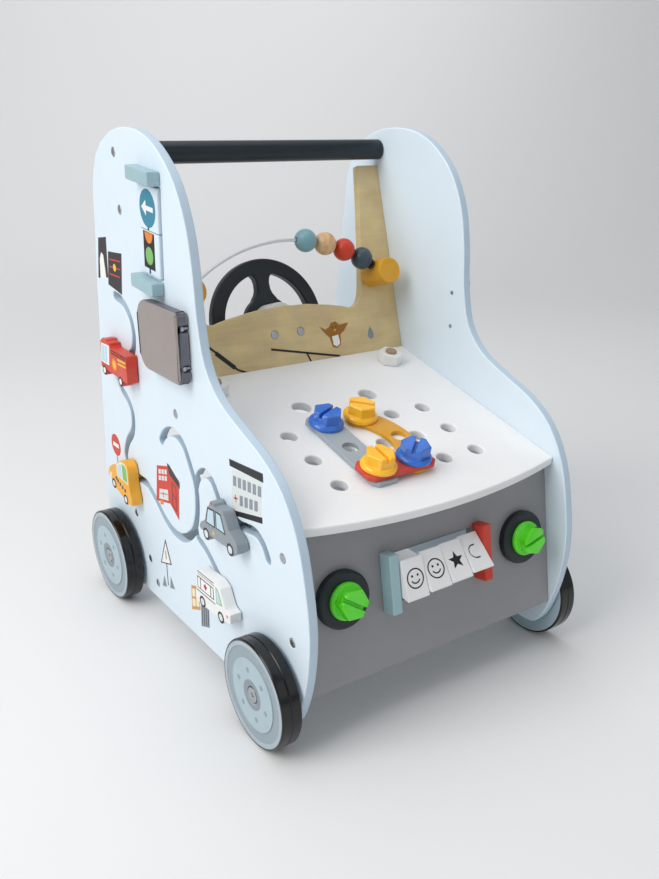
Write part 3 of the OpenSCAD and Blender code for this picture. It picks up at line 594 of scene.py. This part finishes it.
def bake_nodes(obj, tree, values, name):
    """Runs a tree on an object and keeps the result as a plain mesh object."""
    modifier = obj.modifiers.new("nodes", "NODES")
    modifier.node_group = tree
    for item in tree.interface.items_tree:
        if item.item_type == "SOCKET" and item.in_out == "INPUT" and item.name in values:
            modifier[item.identifier] = values[item.name]
    bpy.context.view_layer.update()
    done = obj.evaluated_get(bpy.context.evaluated_depsgraph_get())
    mesh = bpy.data.meshes.new_from_object(done)
    mesh.name = name
    obj.modifiers.remove(modifier)
    bpy.data.objects.remove(obj)
    return link(bpy.data.objects.new(name, mesh))


def screw_head(name, width, depth, cross):
    """A domed countersunk head with a cross recess, its face at z = 0."""
    bm = bmesh.new()
    profile = [(0.0, 0.0), (width * 0.36, -0.02), (width * 0.47, -0.16), (width * 0.5, -0.4),
               (width * 0.25, -depth), (0.0, -depth)]
    sides = 24
    rows = []
    for r, z in profile:
        if r == 0:
            rows.append([bm.verts.new((0, 0, z * MM))])
        else:
            rows.append([bm.verts.new((r * MM * cos(2 * math.pi * k / sides),
                                       r * MM * sin(2 * math.pi * k / sides), z * MM))
                         for k in range(sides)])
    for a, b in zip(rows, rows[1:]):
        for k in range(sides):
            n = (k + 1) % sides
            if len(a) == 1:
                bm.faces.new((a[0], b[k], b[n]))
            elif len(b) == 1:
                bm.faces.new((a[k], b[0], a[n]))
            else:
                bm.faces.new((a[k], b[k], b[n], a[n]))
    for quarter in (0, 90):          # the recess: two crossed wedges, sunk into the head
        for end in (1, -1):
            a = radians(quarter)
            tip = Vector((cos(a), sin(a), 0)) * cross * end * MM
            side = Vector((-sin(a), cos(a), 0)) * 0.42 * MM * end
            top = [tip + side * 0.6, side, -side, tip - side * 0.6]
            upper = [bm.verts.new(p + Vector((0, 0, 0.05 * MM))) for p in top]
            lower = [bm.verts.new(p * 0.8 - Vector((0, 0, 0.5 * MM))) for p in top]
            bm.faces.new(upper)
            bm.faces.new(lower[::-1])
            for k in range(4):
                n = (k + 1) % 4
                bm.faces.new((upper[k], lower[k], lower[n], upper[n]))
    bmesh.ops.recalc_face_normals(bm, faces=bm.faces)
    mesh = bpy.data.meshes.new(name)
    bm.to_mesh(mesh)
    bm.free()
    mesh.shade_smooth()
    mesh.set_sharp_from_angle(angle=radians(40))
    return mesh


screws, s_in, s_out = gn_tree("screws_on_points", [
    ("Head", "NodeSocketObject", None), ("Head size", "NodeSocketFloat", 1.0),
    ("Seed", "NodeSocketInt", 7)])
head_info = node(screws, "GeometryNodeObjectInfo", {"Object": s_in.outputs["Head"]})
facing = node(screws, "GeometryNodeInputNamedAttribute", {"Name": "facing"}, data_type="FLOAT_VECTOR")
aim = node(screws, "FunctionNodeAlignRotationToVector", {"Vector": facing.outputs[0]}, axis="Z")
spin = node(screws, "FunctionNodeRandomValue", {2: 0.0, 3: 3.14, "Seed": s_in.outputs["Seed"]},
            data_type="FLOAT")
spun = node(screws, "FunctionNodeAxisAngleToRotation", {"Angle": spin.outputs[1]})
both = node(screws, "FunctionNodeRotateRotation", {0: aim.outputs[0], 1: spun.outputs[0]},
            rotation_space="LOCAL")
placed = node(screws, "GeometryNodeInstanceOnPoints", {
    "Points": s_in.outputs[0], "Instance": head_info.outputs["Geometry"],
    "Rotation": both.outputs[0], "Scale": s_in.outputs["Head size"]})
real = node(screws, "GeometryNodeRealizeInstances", {0: placed.outputs[0]})
zinc = node(screws, "GeometryNodeSetMaterial", {"Geometry": real.outputs[0]})
zinc.inputs["Material"].default_value = M["steel"]
screws.links.new(zinc.outputs[0], s_out.inputs[0])

HEAD_PROUD = 0.03                # the heads stand this much out of the wood
SCREW_SITES = [(97.8, 467.5), (95, 419), (7, 250.5), (124, 108), (96.5, 65), (82, 42),
               (-175.5, 181), (-187.5, 109)]
head_mesh = screw_head("wood_screw_head", 7.9, 2.4, 2.0)
head_mesh.materials.append(M["steel"])
head_model = link(bpy.data.objects.new("wood_screw_head", head_mesh))
places, normals = [], []
for y, z in SCREW_SITES:
    for side in (-1, 1):
        places.append(Vector((side * (PANEL_FACE + HEAD_PROUD), y + Y_MID, z)) * MM)
        normals.append((side, 0, 0))
for x in (-15.5, 15.5):
    places.append(on_screen(x, 31, HEAD_PROUD))
    normals.append(tuple((on_screen(0, 0, 1) - on_screen(0, 0, 0)).normalized()))
cloud = points_object("screw_points", places, normals)
wood_screws = bake_nodes(cloud, screws, {"Head": head_model, "Head size": 1.0, "Seed": 7},
                         "finished_wood_screws")
bpy.data.objects.remove(head_model)
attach(wood_screws, "frame")
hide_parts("wood_screws")
print("screws:", len(places), "faces:", len(wood_screws.data.polygons))

# %% [markdown]
# ## The plain pieces
# Every other piece is dressed in the same way. Only three things differ from piece to piece, so they
# stand in a table: the finish, the slot of the record, and the radius of the edges. A turned or
# moulded toy has soft edges, and a stamped washer has almost none.

# %% Dress the remaining pieces
ROUND = {                        # finish, record slot, edge radius in mm
    "sign_holders": ("blue_grey", "blue_grey_paint", 1.2),
    "tile_holder_left": ("blue_grey", "blue_grey_paint", 1.2),
    "tile_holder_right": ("red", "red_paint", 1.2),
    "lamp_discs": ("slate", "slate_paint", 0.6),
    "toy_nuts": ("toy_white", "white_paint", 0.5),
    "mirror_hinges": ("steel", "steel", 0.25),
    "steering_cap": ("slate", "slate_paint", 0.8),
    "steering_wheel": ("slate", "slate_paint", 2.2),
    "strip_straight": ("strip_grey", "blue_grey_paint", 0.8),
    "strip_curved": ("ochre", "ochre_paint", 0.8),
    "strip_short": ("red", "red_paint", 0.8),
    "nut_pegs": ("end_grain", "plywood", 0.6),
    "hex_nut_left": ("toy_white", "white_paint", 0.7),
    "hex_nut_right": ("toy_white", "white_paint", 0.7),
    "wheel_bolts": ("steel", "steel", 0.4),
    "wheel_washers": ("steel", "steel", 0.3),
    "wheel_nuts": ("steel", "steel", 0.4),
    "bead_wire": ("wire", "steel", 0.2),
    "bead_posts": ("ochre", "ochre_paint", 1.2),
    "bead_stops": ("stop", "stop_rubber", 0.5),
    "spin_rods": ("steel", "steel", 0.3),
    "sign_arrow": ("pale_blue", "pale_blue_paint", 0.8),
    "sign_light": ("pale_blue", "pale_blue_paint", 0.8),
    "fire_truck": ("truck", "truck_red", 0.7),
    "taxi": ("taxi", "taxi_yellow", 0.7),
    "police_car": ("police", "police_grey", 0.7),
    "ambulance": ("van", "van_white", 0.7),
    "bead_1": ("bead_blue", "bead_blue", 0.5),
    "bead_2": ("beech", "bead_natural", 0.5),
    "bead_3": ("bead_red", "bead_red", 0.5),
    "bead_4": ("bead_slate", "bead_slate", 0.5),
}
for corner in ("fl", "fr", "rl", "rr"):
    ROUND["tyre_" + corner] = ("tyre", "tyre_rubber", 0.4)
for hue, spots in (("blue", ("rear", "front")), ("yellow", ("rear", "front")),
                   ("green", ("left", "right"))):
    for spot in spots:
        ROUND["bolt_" + hue + "_" + spot] = ("toy_" + hue, "toy_" + hue, 0.7)
for number in range(1, 5):
    ROUND["tile_%d" % number] = ("white", "white_paint", 0.5)
for cad_name, (finish, slot, width) in ROUND.items():
    dress(cad_name, M[finish], width=width)


BOSS_REACH = 18.4                # the boss is 36 mm thick


def boss_or_block(face):
    """1 on the round boss of the steering mount, 0 on its plywood block."""
    axis = (on_screen(0, 0, 1) - on_screen(0, 0, 0)).normalized()
    away = face.calc_center_median() - on_screen(0, 45, 0)
    return 1 if (away - axis * away.dot(axis)).length < BOSS_REACH * MM else 0


dress("steering_mount", [M["ply"], M["white"]], width=0.5, choose=boss_or_block)
# the mirrors' edges get a darker blue-grey: painted shade on the faces that turn away from the lamps
M["mirror_edge"] = paint("mirror_edge_paint", srgb(98, 98, 106), rim_tone=1.5)
for cad_name in ("mirror_left", "mirror_right"):
    dress(cad_name, [M["taupe"], M["mirror_edge"]], width=2.2,
          choose=lambda face: 1 if abs(face.normal.x) < 0.45 else 0)
print("pieces dressed:", len(ROUND) + 3)

# %% [markdown]
# ## Flat pictures as thin slabs
# Each picture is a few flat outlines. An outline becomes a slab that starts just inside the wood and
# ends a tenth of a millimetre above it. A shape on top of another gets a higher layer, so two colours
# never share a plane. A `lay` function decides which surface the outlines go on.
#
# The wheels come first. A wheel is painted in rings: a grey rim, a darker sunk ring and a paler face.
# Its outer face is lowered by a quarter of a millimetre, which leaves room for its printed dots inside
# the walker's width.

# %% Inks, outlines and wheels
INKS = {
    "dark": (58, 52, 54), "black": (32, 33, 36), "white": (240, 240, 236), "red": (206, 66, 50),
    "yellow": (238, 194, 60), "grey": (136, 146, 152), "slot_grey": (138, 148, 156),
    "pale": (218, 224, 224), "green": (128, 186, 104), "blue": (62, 136, 160), "orange": (232, 132, 48),
    "brown": (158, 104, 34), "glass": (188, 216, 228), "cream": (238, 230, 206),
    "dot": (142, 160, 172), "ochre": (206, 152, 74)}
SLAB_BASE, SLAB_TOP, LAYER_STEP = -0.05, 0.12, 0.06
INK = {name: print_ink("print_" + name, srgb(*rgb)) for name, rgb in INKS.items()}


def quad(a0, b0, a1, b1):
    """An upright rectangle between two corners."""
    return [(a0, b0), (a1, b0), (a1, b1), (a0, b1)]


def disc(a, b, r, steps=28):
    """A disc of radius r, as a polygon."""
    return [(a + r * cos(math.tau * i / steps), b + r * sin(math.tau * i / steps))
            for i in range(steps)]


def stroke(p, q, width):
    """A straight line of the given width from p to q."""
    along = Vector((q[0] - p[0], q[1] - p[1])).normalized() * width / 2
    return [(p[0] - along.y, p[1] + along.x), (p[0] + along.y, p[1] - along.x),
            (q[0] + along.y, q[1] - along.x), (q[0] - along.y, q[1] + along.x)]


def arc(a, b, r, start, end, width, steps=16):
    """Part of a ring, from start to end in degrees."""
    turn = [radians(start + (end - start) * i / steps) for i in range(steps + 1)]
    outer = [(a + (r + width / 2) * cos(t), b + (r + width / 2) * sin(t)) for t in turn]
    return outer + [(a + (r - width / 2) * cos(t), b + (r - width / 2) * sin(t))
                    for t in turn[::-1]]


def prints(name, body, lay, shapes):
    """Thin printed shapes as one mesh: (ink, layer, outline), laid on a face by lay()."""
    bm = bmesh.new()
    inks = []
    for ink, layer, outline in shapes:
        if ink not in inks:
            inks.append(ink)
        low = [bm.verts.new(lay(a, b, SLAB_BASE)) for a, b in outline]
        top = [bm.verts.new(lay(a, b, SLAB_TOP + LAYER_STEP * layer)) for a, b in outline]
        made = [bm.faces.new(top), bm.faces.new(low[::-1])]
        for i in range(len(outline)):
            k = (i + 1) % len(outline)
            made.append(bm.faces.new((top[i], low[i], low[k], top[k])))
        for face in made:
            face.material_index = inks.index(ink)
    bmesh.ops.recalc_face_normals(bm, faces=bm.faces)
    obj = finish_mesh("print_" + name, bm, [INK[ink] for ink in inks], angle=30)
    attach(obj, body)
    return obj


AXLE_Y, AXLE_Z = 157.7, 50.0     # axles before and behind the middle, and above the floor
WHEEL_FACE = 174.0               # outer face of a wheel, from x = 0
FACE_SUNK = 0.25                 # how far the face is lowered for its print


def dress_wheel(corner, side, end):
    """One wheel disc with its painted rings and dots."""
    hub = Vector((0, end * AXLE_Y + Y_MID, AXLE_Z)) * MM

    def ring_of(face):
        away = [math.hypot(v.co.y - hub.y, v.co.z - hub.z) / MM for v in face.verts]
        near, reach = min(away), max(away)
        if near > 42.5:
            return 0
        return 1 if near > 32.5 and reach < 45.5 else 2

    bm = merged_copy("wheel_disc_" + corner)
    round_edges(bm, 0.5)
    for v in bm.verts:
        if abs(v.co.x) > (WHEEL_FACE - 0.4) * MM:
            v.co.x -= math.copysign(FACE_SUNK * MM, v.co.x)
    obj = finish_mesh("finished_wheel_disc_" + corner, bm,
                      [M["wheel_rim"], M["wheel_ring"], M["wheel_face"]], ring_of)
    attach(obj, "wheel_" + corner)
    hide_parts("wheel_disc_" + corner)

    def lay(a, b, out):
        return Vector((side * (WHEEL_FACE - FACE_SUNK + out), end * AXLE_Y + Y_MID + a,
                       AXLE_Z + b)) * MM

    turns = [radians(t) for t in range(15, 375, 60)]
    dots = [("dot", 0, disc(23 * cos(t), 23 * sin(t), 2.5, 20)) for t in turns]
    hub_ring = [("grey", 0, arc(0, 0, 11.5, t, t + 90, 5)) for t in (0, 90, 180, 270)]
    prints("wheel_" + corner, "wheel_" + corner, lay, dots + hub_ring)


for corner, side, end in (("fl", -1, -1), ("fr", 1, -1), ("rl", -1, 1), ("rr", 1, 1)):
    dress_wheel(corner, side, end)
print("wheels dressed: 4")

# %% [markdown]
# ## The printed town
# The decorated panel is a little town between the slots. Each motif is one mesh, its outlines given
# as (y, z) on the panel's face. The two signs at the top turn with their blocks, so their prints ride
# on those bodies, and are laid in the frame of the sign unit, which leans forwards.

# %% Panel prints
WINDOW = [(54.5, 181.3), (49.5, 182.7), (50, 177.6), (55.2, 176.2)]
LATTICE = [((25, 177), (16.5, 173.5)), ((26, 165), (17.5, 161)), ((27, 153), (18.5, 148.5)),
           ((17, 174), (19.5, 148.5)), ((25, 177.5), (27.5, 152.5))]
TOWN = {
    "arch_hall": [
        ("dark", 0, [(154, 388), (134, 391), (138, 352.5), (164, 348.5)]),
        ("dark", 0, [(132, 378), (99, 380), (107, 341), (139, 346)]),
        ("white", 1, [(158, 349.3), (155, 368), (150, 375), (145, 373), (143, 351.6)]),
        ("red", 1, stroke((130, 371), (104, 372), 1.3)), ("red", 1, stroke((132, 364), (106, 364.5), 1.3)),
        ("red", 1, stroke((133, 357), (108, 357), 1.3)), ("yellow", 2, disc(119, 364.5, 3.6))],
    "no_entry": [
        ("grey", 0, quad(161.8, 140, 164.2, 162)), ("red", 1, disc(163, 173, 12)),
        ("white", 2, quad(155.5, 170.8, 170.5, 175.2))],
    "red_house": [
        ("red", 0, [(58, 184), (30, 192), (33, 152), (66, 144)]),
        ("red", 0, [(30, 192), (9, 184), (15, 141), (33, 152)]),
        ("dark", 1, [(34, 194), (29, 193.6), (8, 182.5), (8.6, 176), (30, 184)]),
        ("pale", 1, [(56, 160), (36, 165.5), (36.6, 154), (58.6, 148.5)]),
        ("red", 2, stroke((47, 159.5), (48, 153.5), 1)), ("red", 2, stroke((55, 155.5), (38, 160), 1)),
        ("orange", 2, [(56, 148), (49, 150), (49.5, 145), (56.5, 143)])]
    + [("dark", 1, stroke(start, end, 0.9)) for start, end in LATTICE]
    + [("pale", 1, [(a + 0.8 * j - 7 * i, b - 7 * j + 2 * i) for a, b in WINDOW])
       for i in range(3) for j in range(2)],
    "grey_block": [
        ("pale", 0, [(-98, 231), (-147, 240), (-144, 204), (-94, 193)]),
        ("black", 1, [(-94, 239.5), (-149, 244.5), (-149.5, 237), (-94.5, 233.5)]),
        ("black", 1, [(-93, 193), (-146, 205.5), (-146, 200), (-92.6, 188.5)]),
        ("red", 2, stroke((-99, 206), (-106, 207.6), 1.3)),
        ("red", 2, stroke((-102, 210), (-103, 203.4), 1.3))]
    + [("slot_grey", 1, [(-99.5 - 8.2 * i, 226.5 + 1 * i), (-105 - 8.2 * i, 227.2 + 1 * i),
                         (-104.6 - 8.2 * i, 218 + 1 * i), (-99 - 8.2 * i, 217.2 + 1 * i)])
       for i in range(6)]
    + [("slot_grey", 1, [(-109.5 - 8.2 * i, 212 + 1.4 * i), (-115 - 8.2 * i, 213 + 1.4 * i),
                         (-114.6 - 8.2 * i, 203.6 + 1.5 * i), (-109 - 8.2 * i, 202.4 + 1.5 * i)])
       for i in range(4)],
    "warning_sign": [
        ("dark", 0, quad(53.4, 52, 55, 78)), ("dark", 0, [(68.5, 72.5), (41.5, 81), (52.5, 106)]),
        ("white", 1, [(65.8, 74.6), (44.2, 81.4), (52.9, 101.6)]),
        ("dark", 2, stroke((54, 82.5), (53.4, 92), 1.5)),
        ("grey", 0, [(69, 45), (58, 48.5), (62.5, 60)]), ("grey", 0, [(50, 51), (38, 54.5), (46.5, 66)])],
    "boxes": [
        ("ochre", 0, [(-2, 78), (-19, 84), (-19, 58), (0, 50)]),
        ("cream", 1, [(-3.4, 75), (-9.4, 77.2), (-9, 68.4), (-3, 66)]),
        ("cream", 1, [(-11.4, 78), (-17.4, 80), (-17, 71), (-11, 69)]),
        ("cream", 1, [(-2.6, 63.4), (-9, 66), (-9, 57.4), (-2, 54.6)]),
        ("cream", 1, [(-11, 66.6), (-17.4, 69.2), (-17.4, 61), (-11, 58.2)]),
        ("slot_grey", 0, [(-21, 65), (-38, 71), (-37, 47), (-19, 40)])]
    + [("dark", 1, stroke((-23 - 4.4 * i, 64 + 1.6 * i), (-22 - 4.4 * i, 43 + 1.7 * i), 1.2))
       for i in range(4)],
}
for name, shapes in TOWN.items():
    prints(name, "frame", on_left_panel, shapes)


SIGN_FACE, SIGN_Y, SIGN_Z = 153.7, 28.0, 408.2


def on_sign(a, b, out):
    """A point of the sign unit's face: a along Y and b up, in the leaning frame."""
    lean = radians(4.5)
    return Vector((-SIGN_FACE - out, SIGN_Y + Y_MID + a * cos(lean) - b * sin(lean),
                   SIGN_Z + a * sin(lean) + b * cos(lean))) * MM


prints("arrow_sign", "sign_arrow", on_sign, [
    ("blue", 0, disc(0, 18.6, 15.8, 36)), ("white", 1, stroke((3.5, 18.6), (-11, 18.6), 4)),
    ("white", 2, [(12, 18.6), (3, 25), (3, 12.2)]), ("black", 0, quad(-1.3, 0.8, 1.3, 3))])
prints("traffic_light", "sign_light", on_sign, [
    ("black", 0, quad(-11, -32, 11, -1)),
    ("orange", 1, [(8 * cos(radians(t)), -1.4 - 9 * sin(radians(t)))
                   for t in range(0, 181, 12)]),
    ("green", 1, disc(0, -21, 7.6, 28)), ("black", 0, quad(-1.4, -36, 1.4, -32))])
print("town motifs:", len(TOWN) + 2)

# %% [markdown]
# ## Prints on the boards and the tiles
# The windscreen carries a bird, a raindrop and two wipers. The four picture tiles are three-sided
# prisms on a rod, each stopped at its own angle. `tile_face` works out where a tile's front face is
# from that angle, so the picture tips back with its tile.

# %% Windscreen and tile prints
prints("bird", "frame", on_screen, [
    ("brown", 0, [(38, 33), (45, 29), (50, 31), (53, 35), (59, 36), (63, 32), (75, 33), (68, 25),
                  (63, 22), (62, 12), (57, 8.5), (51, 10), (49, 20), (44, 25)]),
    ("white", 1, [(52, 21), (60, 22), (61, 13), (57, 10), (52.5, 12)]),
    ("dark", 2, disc(54.4, 30, 0.8, 12)), ("dark", 2, disc(58.6, 30.4, 0.8, 12)),
    ("yellow", 2, [(55.4, 28), (58, 28.2), (56.6, 25.6)])])
prints("raindrop", "frame", on_screen, [
    ("grey", 0, [(102, 26), (105.4, 20), (106, 16.5), (104.6, 13.2), (102, 12), (99.4, 13.2),
                 (98, 16.5), (98.6, 20)])])
prints("wipers", "frame", on_screen, [
    ("black", 0, stroke((-22.8, 17.4), (58.4, -0.3), 2.2)),
    ("black", 0, stroke((18, 8.5), (24, -6), 2)),
    ("black", 0, stroke((-100, 38), (-63.3, 2.7), 2.2)), ("black", 1, stroke((-84, 22), (-66, 5), 4.4)),
    ("black", 0, stroke((-63.3, 2.7), (-52.9, -1.8), 2))])


TILE_TURNS, TILE_PITCH = (13, 25, 30, 40), 23.8
TILE_X, TILE_UP, TILE_OUT = -3, 4.5, 8.5      # middle of the row, and the rod's place on the board
TILE_REACH = 11.12               # from the rod to a tile's face


def tile_face(number):
    """Gives lay() for the front face of one tile: a across, b up the face."""
    turn = radians(TILE_TURNS[number - 1])
    middle = TILE_X + (number - 2.5) * TILE_PITCH

    def lay(a, b, out):
        reach = TILE_REACH + out
        return on_front(middle + a, TILE_UP + reach * sin(turn) + b * cos(turn),
                        TILE_OUT + reach * cos(turn) - b * sin(turn))
    return lay


def smiley(size):
    """Outline face: ring, eyes and mouth."""
    ring = [("black", 0, arc(0, 0, size, t, t + 90, 1.2)) for t in (0, 90, 180, 270)]
    eyes = [("black", 0, disc(s * size * 0.36, size * 0.3, 1.1, 12)) for s in (-1, 1)]
    return ring + eyes + [("black", 0, arc(0, 0.5, size * 0.55, 205, 335, 1.2))]


star = [(r * sin(math.pi * i / 5), r * cos(math.pi * i / 5))
        for i, r in enumerate((8.4, 3.6) * 5)]
moon = [(7 * cos(radians(t)), 7 * sin(radians(t))) for t in range(60, 301, 12)]
moon += [(3.2 + 6.1 * cos(radians(t)), 6.1 * sin(radians(t))) for t in range(270, 89, -12)]
pale_moon = [(a * 0.8 - 0.7, b * 0.8) for a, b in moon]
ICONS = [smiley(8.4), smiley(8.4), [("black", 0, star)], [("black", 0, moon), ("white", 1, pale_moon)]]
for number, shapes in enumerate(ICONS, 1):
    prints("tile_%d" % number, "tile_%d" % number, tile_face(number), shapes)
print("board and tile prints: 7")

# %% [markdown]
# ## Prints on the vehicles
# Each vehicle slides in its slot, so its picture rides on the vehicle's own body. The outlines are
# measured from the peg that holds the vehicle in the slot: the first number towards the back of the
# walker, the second upwards.

# %% Vehicle prints
CAR_FACE = 163.5                 # outer face of the vehicles, from x = 0


def car_face(y, z):
    """Gives lay() for a vehicle's outer face, measured from its peg at (y, z)."""
    def lay(a, b, out):
        return Vector((-CAR_FACE - out, y + a + Y_MID, z + b)) * MM
    return lay


def car_wheel(a, b, r, tyre_ink, face_ink):
    """A wheel as two discs, one on the other."""
    return [(tyre_ink, 1, disc(a, b, r)), (face_ink, 2, disc(a, b, r * 0.62))]


prints("fire_truck", "fire_truck", car_face(115, 273), [
    ("white", 0, [(27, 17), (6.4, 17.6), (11, -3), (30.8, -2.6)]),
    ("glass", 1, [(25.6, 15.6), (18.5, 15.8), (21.5, -1.5), (29, -1.4)]),
    ("glass", 1, [(17.3, 15.8), (11.5, 16), (14.8, -1.6), (20.2, -1.5)]),
    ("orange", 0, disc(-2.9, 1, 6.3)), ("yellow", 1, disc(-2.9, 1, 3.9)),
    ("yellow", 0, stroke((-12, 8), (-31.5, 8.2), 1.8)), ("yellow", 0, stroke((-12, 4), (-31.5, 4.4), 1.8)),
    ("black", 0, stroke((3, 14.2), (-31.5, 13.6), 0.9)), ("black", 0, stroke((3, 11.2), (-31, 11.1), 0.9))]
    + [("black", 0, stroke((1 - 4.4 * i, 14.2), (1 - 4.4 * i, 11.2), 0.8)) for i in range(8)]
    + car_wheel(24.5, -10.6, 4.8, "black", "white") + car_wheel(-15.3, -13, 4.8, "black", "white"))
prints("taxi", "taxi", car_face(116, 154), [
    ("cream", 0, [(19.5, 8), (10, 13.6), (4, 15.8), (-3.6, 16), (-8, 13), (-9.4, 6), (-9, -5.4), (19, -4)]),
    ("glass", 1, [(17.5, 7.2), (9, 12), (5.4, 13.2), (5.6, -3.2), (17, -2.6)]),
    ("green", 1, [(3.6, 13.8), (-3, 14), (-6.6, 11.6), (-7.6, 5.6), (-7.2, -4), (3.8, -3.4)]),
    ("cream", 0, disc(37.4, -8.6, 3))]
    + [("dark", 0, quad(a - 1.8, b - 1.8, a + 1.8, b + 1.8))
       for a, b in ((22.8, -8), (18.3, -9.8), (13, -11.8), (7.2, -13.6), (0.8, -15))]
    + car_wheel(30.5, -16.6, 5.4, "black", "pale") + car_wheel(1, -25, 5.4, "black", "pale"))
prints("police_car", "police_car", car_face(-99, 184), [
    ("dark", 0, [(26, 7), (13.4, 8.6), (13.4, -8.6), (31, -9.4)]),
    ("glass", 1, [(24.8, 5.6), (15, 6.8), (15, -7.2), (29, -8)]),
    ("dark", 0, [(11.6, 8.8), (1.8, 8.8), (-5.4, -7.6), (11.6, -8)]),
    ("glass", 1, [(10.2, 7.4), (2.8, 7.4), (-3.4, -6.4), (10.2, -6.6)]),
    ("red", 0, [(21.4, 12.6), (19.2, 14.2), (16.8, 13.4), (16.4, 11.6)]),
    ("yellow", 0, disc(17, -14.6, 1.9, 16))]
    + car_wheel(-12.5, -18.2, 5.7, "dark", "pale") + car_wheel(31, -20.6, 5.7, "dark", "pale"))
prints("ambulance", "ambulance", car_face(-72, 107.75), [
    ("dark", 0, stroke((27.8, 8.9), (-4, 9.9), 0.9)), ("grey", 0, stroke((27.6, 6.6), (-5, 7.2), 0.8)),
    ("dark", 0, [(28.4, 3.8), (-3, 4.4), (-3, -8), (28.8, -8.8)]),
    ("white", 1, [(27.2, 2.8), (-2, 3.4), (-2, -7), (27.6, -7.8)]),
    ("dark", 2, quad(21.6, -7.4, 22.8, 3)), ("dark", 2, quad(1.8, -7.2, 3, 3.2)),
    ("red", 2, quad(11.7, -5, 14.1, 1.2)), ("red", 2, quad(9.8, -3.1, 16, -0.7)),
    ("dark", 0, stroke((31, -11.8), (-5, -11.2), 0.9)),
    ("green", 0, [(-7.4, 7.6), (-12.4, 6.4), (-18.8, -7.2), (-7.4, -9.2)]),
    ("glass", 1, [(-8.4, 6.2), (-11.8, 5.2), (-16.8, -6.4), (-8.4, -7.8)]),
    ("orange", 0, disc(-27.4, -13.4, 1.7, 14))]
    + car_wheel(-15, -20, 5.7, "black", "pale") + car_wheel(20.5, -20.6, 5.7, "black", "pale"))
print("vehicle prints: 4")
